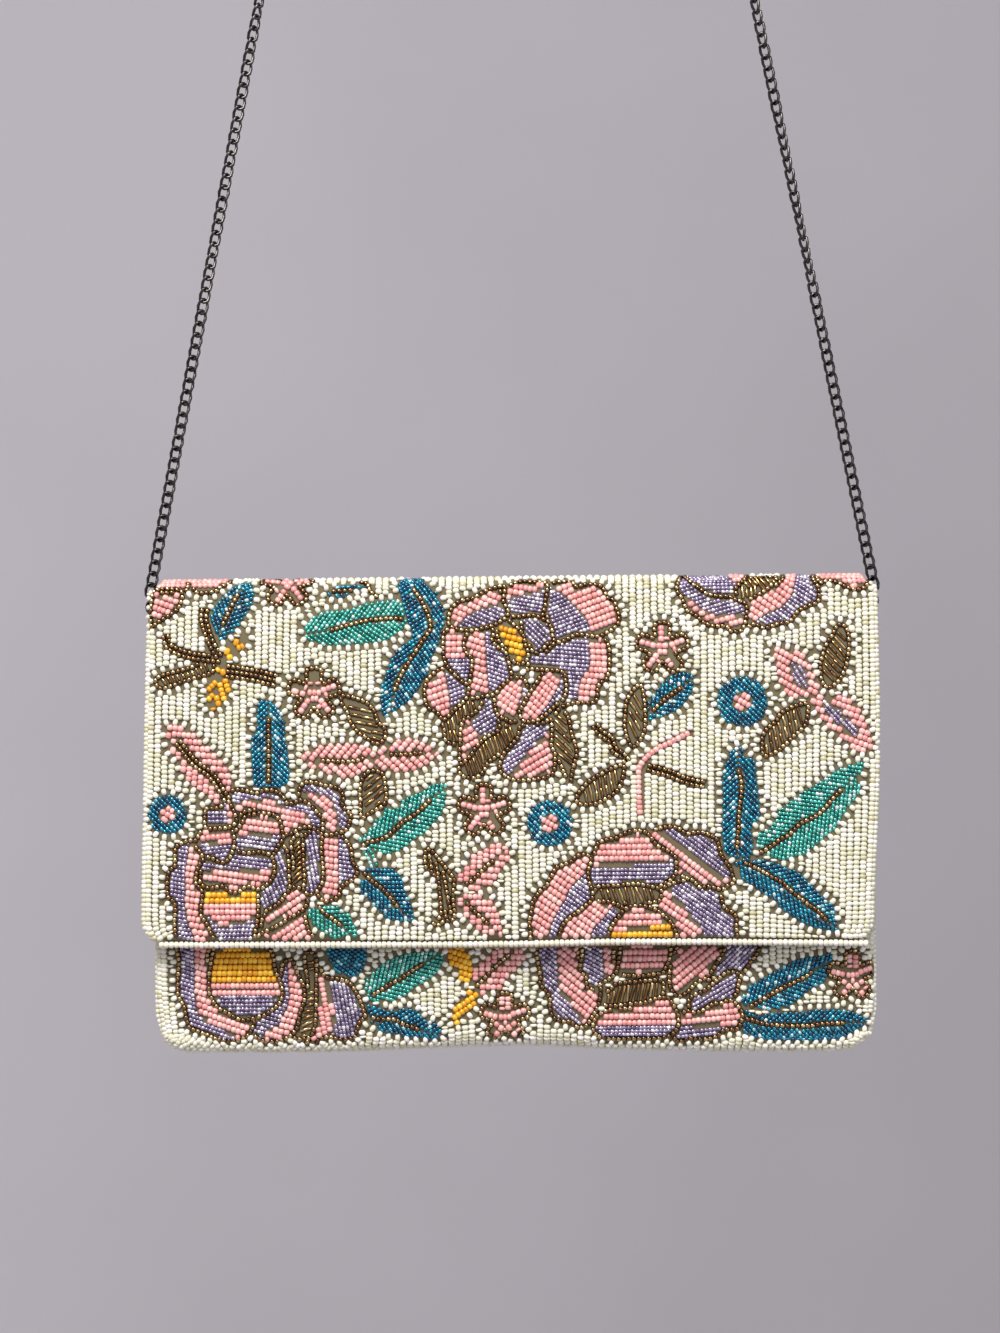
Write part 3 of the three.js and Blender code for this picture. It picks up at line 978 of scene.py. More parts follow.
def smooth(points: Points, closed: bool, step: float = 0.5) -> np.ndarray:
    """Draws a smooth curve through chosen points.

    Args:
        points: The points, across and along.
        closed: Whether the curve comes back to its start.
        step: About how far apart the curve's new points lie.

    Returns:
        Points on the curve. A closed curve doesn't repeat its first one.
    """
    given = np.array(points, float)
    if closed:
        rim = np.vstack([given[-1], given, given[0], given[1]])
    else:
        rim = np.vstack([2 * given[0] - given[1], given, 2 * given[-1] - given[-2]])
    pieces = []
    for i in range(1, len(rim) - 2):
        before, here, there, after = rim[i - 1 : i + 3]
        span = np.linalg.norm(there - here)
        count = max(int(span / step), 1)
        t = (np.arange(count) / count)[:, None]
        start = (there - before) * span / max(np.linalg.norm(here - before) + span, 1e-9)
        end = (after - here) * span / max(np.linalg.norm(after - there) + span, 1e-9)
        curve = (2 * t**3 - 3 * t**2 + 1) * here + (t**3 - 2 * t**2 + t) * start
        pieces.append(curve + (3 * t**2 - 2 * t**3) * there + (t**3 - t**2) * end)
    if not closed:
        pieces.append(given[-1:])
    return np.vstack(pieces)


def spaced(curve: np.ndarray, pitch: float, closed: bool) -> tuple[np.ndarray, np.ndarray, float]:
    """Places beads evenly along a curve.

    Args:
        curve: Points on the curve.
        pitch: About how far apart the beads lie.
        closed: Whether the curve comes back to its start.

    Returns:
        The beads' middles, the directions that they lie in, as angles, and their true spacing.
    """
    path = np.vstack([curve, curve[:1]]) if closed else curve
    length = np.concatenate([[0], np.cumsum(np.linalg.norm(np.diff(path, axis=0), axis=1))])
    count = max(round(length[-1] / pitch), 1)
    step = length[-1] / count
    at = (np.arange(count) + 0.5) * step
    middle = np.column_stack([np.interp(at, length, path[:, axis]) for axis in (0, 1)])
    ahead = np.column_stack([np.interp(at + 0.4, length, path[:, axis]) for axis in (0, 1)])
    behind = np.column_stack([np.interp(at - 0.4, length, path[:, axis]) for axis in (0, 1)])
    way = ahead - behind
    return middle, np.arctan2(way[:, 1], way[:, 0]), step


@dataclass(frozen=True)
class Petal:
    """A closed field of beads, in one kind or in two that meet along a line."""

    outline: Points
    beads: Beads = Beads.PINK
    rows: float = 0.0  # degrees that the rows are turned from level, down to the right
    other: Beads = Beads.LILAC
    meeting: Points = ()  # the line where the other kind starts
    other_at: Point = (0.0, 0.0)  # a place in the other kind
    edged: bool = True  # with a string of bronze beads


@dataclass(frozen=True)
class Leaf:
    """A leaf whose rows slant away from a bronze midrib."""

    outline: Points
    midrib: Points
    beads: Beads = Beads.TEAL
    slant: float = 45.0
    ribs: int = 1  # strings of beads in the midrib


@dataclass(frozen=True)
class Sheaf:
    """A field of tube beads that lie side by side."""

    outline: Points
    angle: float  # degrees from level, down to the right
    pitch: float = 1.5
    length: float = 4.0


@dataclass(frozen=True)
class Stem:
    """One or more strings of beads side by side along a line."""

    line: Points
    strings: int = 1
    beads: Beads = Beads.BRONZE


@dataclass(frozen=True)
class Blossom:
    """A small flower of five pink petals."""

    middle: Point
    radius: float = 9.0
    turn: float = -90.0  # where its first petal points, in degrees


@dataclass(frozen=True)
class Ring:
    """A small round flower: a ring round a pink middle."""

    middle: Point
    radius: float
    eye: float


Motif = Petal | Leaf | Sheaf | Stem | Blossom | Ring
PETAL_EDGE = ((0, 1.0), (17, 0.93), (36, 0.52), (55, 0.93))  # degrees from its tip, share of the radius
FOREST = Beads.TEAL
SEA = Beads.TURQUOISE
GOLD = Beads.MUSTARD
VIOLET = Beads.LILAC


def fold_motifs() -> list[Motif]:
    """The motifs along the fold, from left to right."""
    return [
        Petal([(-121.5, 3.5), (-123, 8), (-122.8, 16), (-119.5, 14), (-116, 12), (-113, 9), (-112.8, 4)],
            rows=20),
        Petal([(-121.5, 3.6), (-110.7, 3.6), (-110.4, 1), (-108.5, 2.8), (-107.4, 4.4), (-103.3, 4.6),
            (-100.4, 3.8), (-98.4, 1.9), (-96, 0.9), (-97, -3), (-109, -5), (-121, -3)]),
        Leaf([(-99, 21), (-102.5, 18), (-103, 14), (-101, 9), (-97, 4.5), (-92, 1), (-89.5, 0.5),
            (-87.8, 4), (-88, 8), (-90.5, 13), (-94.5, 18)], [(-98.5, 16), (-96, 10.5), (-93, 5)]),
        Stem([(-104.5, 10), (-104.8, 14), (-104, 17), (-102.2, 22), (-99.5, 27)], 2),
        Stem([(-118, 19), (-116.5, 23), (-110, 26), (-99, 27.5)], 2),
        Sheaf([(-121, 33.8), (-110.5, 30.6), (-102.3, 28.3), (-101.7, 31.6), (-109.6, 34.2), (-120, 37.2)],
            60, 1.6, 3.2),
        Leaf([(-98.5, 28.4), (-97.5, 24), (-94, 20.5), (-89.5, 18.8), (-90.5, 23), (-94, 26.6)],
            [(-97.6, 27), (-92, 21.4)], GOLD, 30, 0),
        Leaf([(-98, 28), (-94.8, 32), (-95.6, 38), (-98.4, 42.5), (-102.8, 45.4), (-104, 40), (-103, 34)],
            [(-98.8, 30), (-102, 43)], GOLD, 30, 0),
        Stem([(-97.5, 31.5), (-88, 33), (-80, 35)], 3),
        Blossom((-76.5, 1.5)),
        Leaf([(-63.5, 5), (-60, 7), (-56, 6.5), (-53, 4), (-50, 3.5), (-50, 2.5), (-57, 2), (-61, 3)],
            [(-61.5, 4.6), (-54, 4.1)]),
        Stem([(-52, 0.8), (-49.4, 1.6), (-48.2, 4.8), (-45.6, 6.7)]),
        Leaf([(-71, 19), (-66, 12), (-56, 10.6), (-49.5, 8.6), (-41, 7.6), (-37.6, 7.8), (-35, 14),
            (-37.5, 18), (-43, 21.6), (-49.7, 22.7), (-58, 23.2), (-66, 22.8)], [(-62, 18), (-50, 14.8),
            (-41, 14), (-37, 14.3)], SEA),
        Leaf([(-38.8, 1.4), (-37.7, 7.6), (-35.8, 14.6), (-34.2, 19.5), (-37.5, 23), (-41, 27),
            (-43.5, 33.5), (-45.2, 39.3), (-43.7, 48), (-39, 45), (-35, 42), (-31, 36.6), (-28.4, 32.2),
            (-27, 27), (-25, 23), (-24, 18), (-22.4, 14.7), (-24.7, 6.5), (-27.8, 2.4), (-33, -2)],
            [(-33.6, 3.9), (-30, 9.7), (-27.7, 17), (-29.4, 20.2), (-34, 27), (-37.7, 33), (-40.3, 39)]),
        Blossom((-67.4, 39.6)),
        Blossom((50.8, 25.2)),
        Blossom((-10.2, 79.7)),
    ]


def middle_peony() -> list[Motif]:
    """The large peony under the middle of the fold."""
    return [
        Petal([(-21.2, 16.8), (-21.2, 12), (-18, 8.4), (-13.6, 7.4), (-9, 5), (-2.7, 3.3), (-3, 8),
            (-1.4, 13), (-5.6, 16.2), (-9, 17.5), (-15, 18.4)], rows=25, meeting=[(-18.7, 18.4), (-16, 14),
            (-9.7, 10.9), (-2.7, 9.5)], other_at=(-7, 14)),
        Petal([(-18, 17.6), (-22.8, 18.4), (-23.6, 23), (-22.8, 29.5), (-20.2, 33), (-15.3, 36.7),
            (-14.2, 33), (-13.9, 28.2), (-15.9, 25.7), (-16.6, 23.2), (-15.4, 18.4)], meeting=[(-24, 28),
            (-14, 28)], other_at=(-18, 31)),
        Petal([(-23, 31.5), (-25, 31.8), (-29, 35), (-30, 39), (-29.2, 44), (-25.3, 46.8), (-23.6, 48.8),
            (-19.8, 45.2), (-15.7, 41.2), (-15.3, 36.7), (-20.2, 33)], rows=-20, meeting=[(-23, 31),
            (-22.5, 36), (-21.5, 42), (-21, 46)], other_at=(-18, 38)),
        Petal([(-15.4, 18.4), (-16.6, 23.2), (-15.9, 25.7), (-13.9, 28.2), (-14.4, 33), (-15.6, 35.4),
            (-15.7, 41.2), (-9.9, 41), (-6.2, 40), (-3.4, 37), (-0.5, 34.5), (-0.9, 31.7), (-1.7, 28.4),
            (-2.5, 26), (-5.3, 24), (-6.9, 21.8), (-6.4, 19), (-7.5, 17.4)], rows=20, meeting=[(-9.5, 17),
            (-9, 30), (-8, 41)], other_at=(-4, 30)),
        Petal([(-4.5, 16.5), (-1.5, 15), (1, 17), (3.5, 20), (4.5, 24), (5.5, 27), (4, 29.5), (1.5, 30),
            (-0.5, 28), (-2, 25), (-4, 23), (-5.3, 20)], GOLD, 15),
        Petal([(-4, 4.4), (-2, 3.4), (1.2, 2), (3.7, 1.2), (6.9, 1.6), (9.8, 1.7), (12, 2.6), (11.5, 7.6),
            (10, 13.7), (6.8, 13.3), (1, 13.9), (-1.4, 13), (-2.9, 8.5)], rows=10, meeting=[(-3.5, 8.5),
            (1.9, 7), (12, 4.4)], other_at=(4, 11)),
        Petal([(12.2, 2.9), (14.6, 2), (17, 1.5), (20.3, 1.8), (21.9, 3.7), (23.9, 3.1), (27.2, 2.8),
            (30, 3.5), (31.6, 5.6), (32.4, 7.7), (34.2, 8.3), (35.4, 11), (36.3, 15), (35.5, 17),
            (33.4, 18.7), (29.3, 20.8), (26, 20.5), (21.6, 20.2), (18.7, 21.6), (15.9, 22.7), (13.9, 21.8),
            (13.5, 18.6), (11.9, 14.9)], rows=-20, meeting=[(12.4, 3.2), (18.6, 7.6), (21.8, 11.4),
            (25, 14.7), (27, 21)], other_at=(18, 15)),
        Petal([(3.2, 15.2), (6.8, 14.1), (11.3, 15.1), (13.3, 17.6), (13.6, 20.9), (12, 22.9), (9, 26.1),
            (7, 26), (5, 22), (3.5, 19)], VIOLET, 45),
        Petal([(29.3, 21.4), (32.2, 23.1), (32.8, 30), (31.9, 35), (29, 37.5), (28.5, 41.5), (27.4, 43.4),
            (20.8, 43.4), (16, 44.5), (17.9, 40), (17.9, 36), (17.1, 33.1), (11.8, 32.2), (6, 31.8),
            (4.8, 31.7), (6.5, 27.3), (11.4, 25.8), (13.8, 23.4), (18.7, 21.6), (24, 20.4)], rows=5,
            meeting=[(25.6, 20), (26, 31.2), (23.5, 34.3), (22.2, 39.2), (21.5, 45)], other_at=(15, 29)),
        Petal([(7.6, 37), (9.8, 33.8), (11.8, 32.2), (14.7, 32.3), (17.1, 33.1), (18.7, 38.5), (15.2, 43.2),
            (10.6, 47.6), (7.8, 49.2), (3.7, 49.5), (2.1, 46.6), (3.7, 43.4), (5, 41)], rows=42,
            meeting=[(16, 31), (15.4, 38), (7, 50)], other_at=(17, 41)),
        Petal([(-3.4, 37.8), (-0.9, 35.3), (2, 34.6), (4.3, 35.9), (5, 41), (2.5, 43.8), (1.7, 47), (0, 50),
            (-2, 49), (-4.7, 47.7), (-5.9, 45.6), (-6.2, 40)], rows=35, meeting=[(3, 34), (3, 40),
            (-0.5, 50)], other_at=(4.4, 41)),
        Petal([(-9.9, 41), (-6.2, 41), (-6, 46), (-4.8, 51.8), (-9.7, 55), (-13, 58.6), (-15, 61.4),
            (-17.9, 63.6), (-18.1, 56.6), (-17.3, 49.7), (-14.8, 47.7), (-11.2, 44.5)], rows=-30,
            meeting=[(-14.5, 44), (-13.5, 52), (-8, 55)], other_at=(-8, 47)),
        Petal([(2.4, 51.1), (6, 50.8), (10.2, 50.1), (12.6, 48.9), (13, 55.4), (12.8, 58.2), (14, 60.3),
            (13.4, 66.8), (11.3, 68.4), (7.2, 69.2), (3.2, 69.5), (-0.9, 69), (-3.7, 67.3), (-4.9, 65.6),
            (-4, 61.6), (-2.3, 59.2), (1.4, 54.8)], rows=-30, meeting=[(13, 52), (9.7, 55.3), (6.4, 58.5),
            (3.5, 61.7), (1.4, 64.9), (-4, 69)], other_at=(4, 55)),
        Sheaf([(-15.2, 40.8), (-9.9, 41), (-11.2, 44.5), (-14.8, 47.7), (-17.3, 49.7), (-18, 55.4),
            (-20.2, 57), (-23, 55.7), (-23.4, 52.5), (-24.2, 48.4), (-19.8, 45.2)], 80),
        Sheaf([(-18.3, 64.4), (-17.9, 67.3), (-13.9, 68.6), (-10.7, 67), (-9.4, 64.6), (-7.7, 62.6),
            (-4.8, 60.5), (-2.2, 58), (0.6, 54.4), (1, 51.5), (-3.2, 51.1), (-7.3, 53), (-13, 58.6)], 72),
        Sheaf([(16, 45.3), (18.7, 48.7), (19.4, 52.8), (20.6, 56.9), (21.3, 60.5), (20.4, 64.2),
            (19.5, 67.8), (19, 70.2), (17, 66.9), (15.5, 63.6), (14.4, 61), (13.6, 57), (13.3, 52.6),
            (13.8, 48.5)], 42, 1.9),
    ]


def upper_right_motifs() -> list[Motif]:
    """The peony that the fold cuts off, and the leaves below it."""
    return [
        Petal([(57, 1), (56, 5), (58, 8.7), (59.4, 12.2), (62.5, 14.1), (64.8, 16.4), (68.5, 17.8),
            (72.6, 17.9), (73.9, 19.5), (77.6, 19.3), (79.3, 15.5), (79.5, 10.5), (76.8, 9.1), (73.6, 7.7),
            (70.4, 7.6), (66.3, 6.6), (63.6, 4.7), (61.3, 2.8), (59.5, 1), (58, -2)], rows=-15,
            meeting=[(56, 6), (61, 9), (66, 13), (72, 14), (80, 14)], other_at=(66, 9)),
        Petal([(59.5, 1), (61.3, 2.8), (63.6, 4.7), (66.3, 6.6), (70.4, 7.6), (73.6, 7.7), (76.8, 9.1),
            (76, 5), (79, 1.5), (79.5, -3), (60, -3)], VIOLET, 0, Beads.PINK, [(73, -3), (75, 2), (80, 2)],
            (77, 0)),
        Sheaf([(79, 1.5), (90, 0.5), (88, 4), (82, 8), (78, 9), (76, 7)], 90, 1.5, 3.6),
        Petal([(81.9, 8.3), (85.1, 7.4), (87.8, 5.7), (89.7, 3.9), (92, 1.7), (93, -3), (102, -3),
            (102.6, 1.9), (103.9, 4.2), (104.4, 6.9), (103.9, 9.6), (98.9, 11.8), (96.7, 13.2),
            (95.3, 15.4), (93.1, 16.8), (89.9, 17.2), (87.6, 18.1), (84.9, 18.5), (82.1, 17.1), (80.3, 18),
            (79.4, 15), (79.5, 10.5)], rows=35, meeting=[(81, 17.5), (86, 14), (92, 11), (95.5, 6),
            (97.5, -3)], other_at=(98, 9)),
        Petal([(104.4, 2.8), (108, 2.2), (111.2, 3.3), (113.5, 4.7), (116.2, 5.7), (119.4, 5.3),
            (120.8, 4.2), (121, -3), (105, -4)]),
        Sheaf([(113.3, 18.7), (110.6, 17.8), (108.7, 21), (106.4, 24.6), (105, 28.2), (104.3, 31.9),
            (104.9, 36.9), (106.7, 39.2), (110.4, 36.9), (112.2, 33.8), (113.6, 29.7), (114.2, 23.8)], 50,
            1.8),
        Petal([(87, 25), (94, 26), (98, 27), (100.5, 30), (102, 34), (104, 38), (104, 42), (100, 43),
            (95, 42.5), (91, 39.5), (89.5, 35), (89, 30)], rows=30, edged=False),
        Petal([(94, 30.5), (97, 31), (99.5, 35), (99.8, 39.5), (97.5, 39), (95, 35.5)], VIOLET, 60,
            edged=False),
        Petal([(100, 42), (107, 41.5), (111.3, 42), (115.4, 43.9), (118, 47), (120, 52), (121.7, 56),
            (121.6, 61), (115.3, 60.3), (111.7, 57), (107.7, 54), (104.6, 50.5), (101.9, 46)], rows=20,
            edged=False),
        Petal([(105, 43), (107.5, 44), (113, 49.5), (117, 54), (115.8, 56), (111, 52.5), (105.5, 46.5)],
            VIOLET, 48, edged=False),
        Sheaf([(84.7, 61.9), (84.3, 56), (85.8, 52.9), (89, 50.2), (90.8, 47.5), (95, 45.3), (99.5, 44.4),
            (99.9, 46.7), (98.9, 51.7), (96.6, 53.9), (93.3, 57), (89.7, 60.2)], 80, 1.8),
        Ring((77.6, 43.6), 8.7, 3.2),
        Leaf([(44.5, 49.5), (46, 42.5), (51, 36.5), (56, 33.5), (60.5, 34), (61, 39), (57.5, 44.5),
            (52, 48.2)], [(47, 46.5), (52, 42), (57, 38.5)]),
        Sheaf([(42.9, 37.4), (44.3, 42), (44.7, 47.7), (44.2, 53), (43, 55.8), (40.2, 58.6), (37.9, 53.3),
            (37.8, 48), (38.6, 42.4)], 60, 2.0),
        Stem([(27.5, 50.8), (29.4, 53.7), (32.6, 55.8), (34.1, 59.5), (36.5, 61.2), (38.5, 63.7)], 2),
        Sheaf([(21.7, 77.5), (21.3, 75), (24.3, 71), (27.6, 68.6), (30.5, 67), (33.8, 65.5), (37.1, 64.8),
            (36.6, 69.7), (34.8, 73.3), (31.5, 75.7), (27.4, 77.6)], 80, 1.8),
        Stem([(59.5, 53.8), (52.5, 57.4), (48.5, 59.2), (44, 63), (42.3, 66), (42.2, 74), (42.5, 81.5)], 1,
            Beads.PINK),
        Stem([(45, 65.5), (52, 67.5), (58, 70), (64.5, 71.5)], 2),
    ]


def left_motifs() -> list[Motif]:
    """The leaves and the ring flower above the left peony, and those beside it."""
    return [
        Ring((-117.5, 80.1), 6.8, 2.8),
        Leaf([(-117.6, 50), (-113.5, 50), (-108.6, 51.8), (-106.6, 54.2), (-103, 57.6), (-99.3, 61.3),
            (-96, 66), (-95.6, 70.4), (-97, 75.6), (-101, 76.6), (-105, 73.2), (-109.2, 70.3), (-112, 67),
            (-113.6, 62.2), (-116.4, 59), (-117.6, 55.3)], [(-114, 55.3), (-108, 62.7), (-102.6, 66.8),
            (-98.5, 73), (-97, 75.6)], Beads.PINK, 45, 2),
        Leaf([(-84, 41), (-87, 43.4), (-87, 50), (-88.8, 54.4), (-88.9, 62.5), (-87.2, 71), (-76.7, 70),
            (-76.3, 58.7), (-77, 53.8), (-77.6, 47), (-81.2, 43)], [(-82.9, 47.7), (-83, 69.7)]),
        Sheaf([(-58.3, 42.3), (-56.3, 45.6), (-55.1, 49.2), (-52.7, 52.5), (-49.8, 54.6), (-46.2, 56.7),
            (-43.3, 54.3), (-43.7, 51.4), (-46.1, 48.9), (-46.9, 46), (-48.9, 43.2), (-52.2, 41.5),
            (-57.9, 40.3)], 12, 2.0, 4.4),
        Leaf([(-72, 61), (-68, 58), (-62, 56.3), (-54, 56.5), (-49, 58), (-46, 60.5), (-47, 64), (-52, 67),
            (-57, 68.5), (-64, 66.5), (-69, 64.5)], [(-65.3, 62.2), (-54.3, 62.5), (-50.3, 61.3)],
            Beads.PINK),
        Leaf([(-46, 59), (-42, 56.5), (-36, 54.5), (-31, 56), (-27, 58.5), (-25, 60), (-27, 62),
            (-30, 64.5), (-36, 66.5), (-43, 66), (-47, 63)], [(-42.2, 60.3), (-36.5, 60.4), (-30.8, 59.8)],
            Beads.PINK),
        Sheaf([(-50, 66.5), (-47, 65.8), (-44.3, 67), (-43.5, 71.2), (-43.2, 75.3), (-44.5, 77.7),
            (-48.2, 79.6), (-51.6, 81.6), (-51.9, 77), (-52, 71)], -38, 2.2),
        Leaf([(-52.7, 89), (-49.4, 85.7), (-47.3, 82.1), (-45.1, 81), (-44.2, 78.2), (-40.1, 78.7),
            (-38.4, 75.9), (-35.1, 74.3), (-30.2, 72.4), (-28.2, 70.8), (-22.8, 70.2), (-23, 74),
            (-23.5, 78), (-25.3, 81.8), (-28.2, 84.6), (-31.1, 87.8), (-34, 89.4), (-38.1, 92.6),
            (-42.2, 94), (-45.4, 93.3), (-50, 92)], [(-51.9, 91.4), (-49.8, 90.1), (-45.7, 89.1),
            (-42.8, 87.7), (-40, 85.3), (-37.1, 82.8), (-33.8, 80.8), (-30.8, 78.4), (-28.3, 75.6)], SEA),
        Stem([(-50.5, 92), (-48.6, 95), (-47.4, 98.5)], 2, SEA),
        Leaf([(-50.7, 99.7), (-50.6, 98.9), (-48.6, 97.2), (-46.2, 99), (-42, 98.2), (-39.3, 100.6),
            (-37.7, 103.5), (-37.3, 106.4), (-35.7, 108.9), (-34.5, 113), (-34.2, 116.3), (-35.8, 117),
            (-39.9, 116.5), (-44, 115.6), (-46.4, 112.7), (-48.8, 111), (-50, 108.5), (-52, 107.6),
            (-52.4, 104.3), (-52, 102.7)], [(-51.1, 100.1), (-48.3, 103), (-45.5, 105.1), (-43.4, 107.2),
            (-41.4, 109.7), (-39.5, 112.1)]),
        Leaf([(-64.6, 111.6), (-59.8, 111.3), (-57.8, 113), (-55.4, 114.7), (-55, 116.8), (-53.4, 119.2),
            (-53.5, 122), (-57.1, 121.6), (-60.8, 122.5), (-63.6, 121), (-67.6, 118.4), (-70, 115),
            (-69.6, 112.3)], [(-66.5, 111), (-64.3, 114), (-61.5, 115.7), (-58.7, 118.2)], SEA),
        Petal([(-30, 92.5), (-28.2, 93), (-26, 95.4), (-24, 98), (-21.6, 101), (-20.6, 103), (-20.9, 108.6),
            (-20.9, 116.2), (-24, 117), (-26.4, 118.2), (-28, 117.3), (-25.2, 115), (-25.4, 108.6),
            (-26, 102), (-28, 101), (-28.2, 99.4), (-30, 99.3)], Beads.BRONZE, 80),
        Leaf([(-19.3, 103), (-18.3, 100), (-16.3, 98), (-15.7, 95.5), (-13, 93.7), (-10, 92.2), (-6, 90.3),
            (-3, 91.5), (-1.8, 94), (-1.5, 96.3), (-3, 98), (-4.6, 99.5), (-6, 102), (-7.5, 104.8),
            (-10, 106), (-15, 106.5)], [(-16.9, 104.7), (-13.9, 102.7), (-11.5, 100.3), (-9, 97.9),
            (-7, 96.3)], Beads.PINK),
        Leaf([(-19.3, 109), (-16, 107.5), (-13, 108), (-9.5, 108.5), (-7.5, 110.5), (-5.5, 114), (-5, 117),
            (-4.3, 120.5), (-4.8, 122.7), (-8, 122), (-11.5, 121), (-14, 119), (-16.5, 116.5),
            (-18.2, 113.5), (-19.3, 111)], [(-16.6, 110.4), (-14.2, 113.3), (-11.4, 115.8), (-9, 118.3)],
            Beads.PINK),
    ]


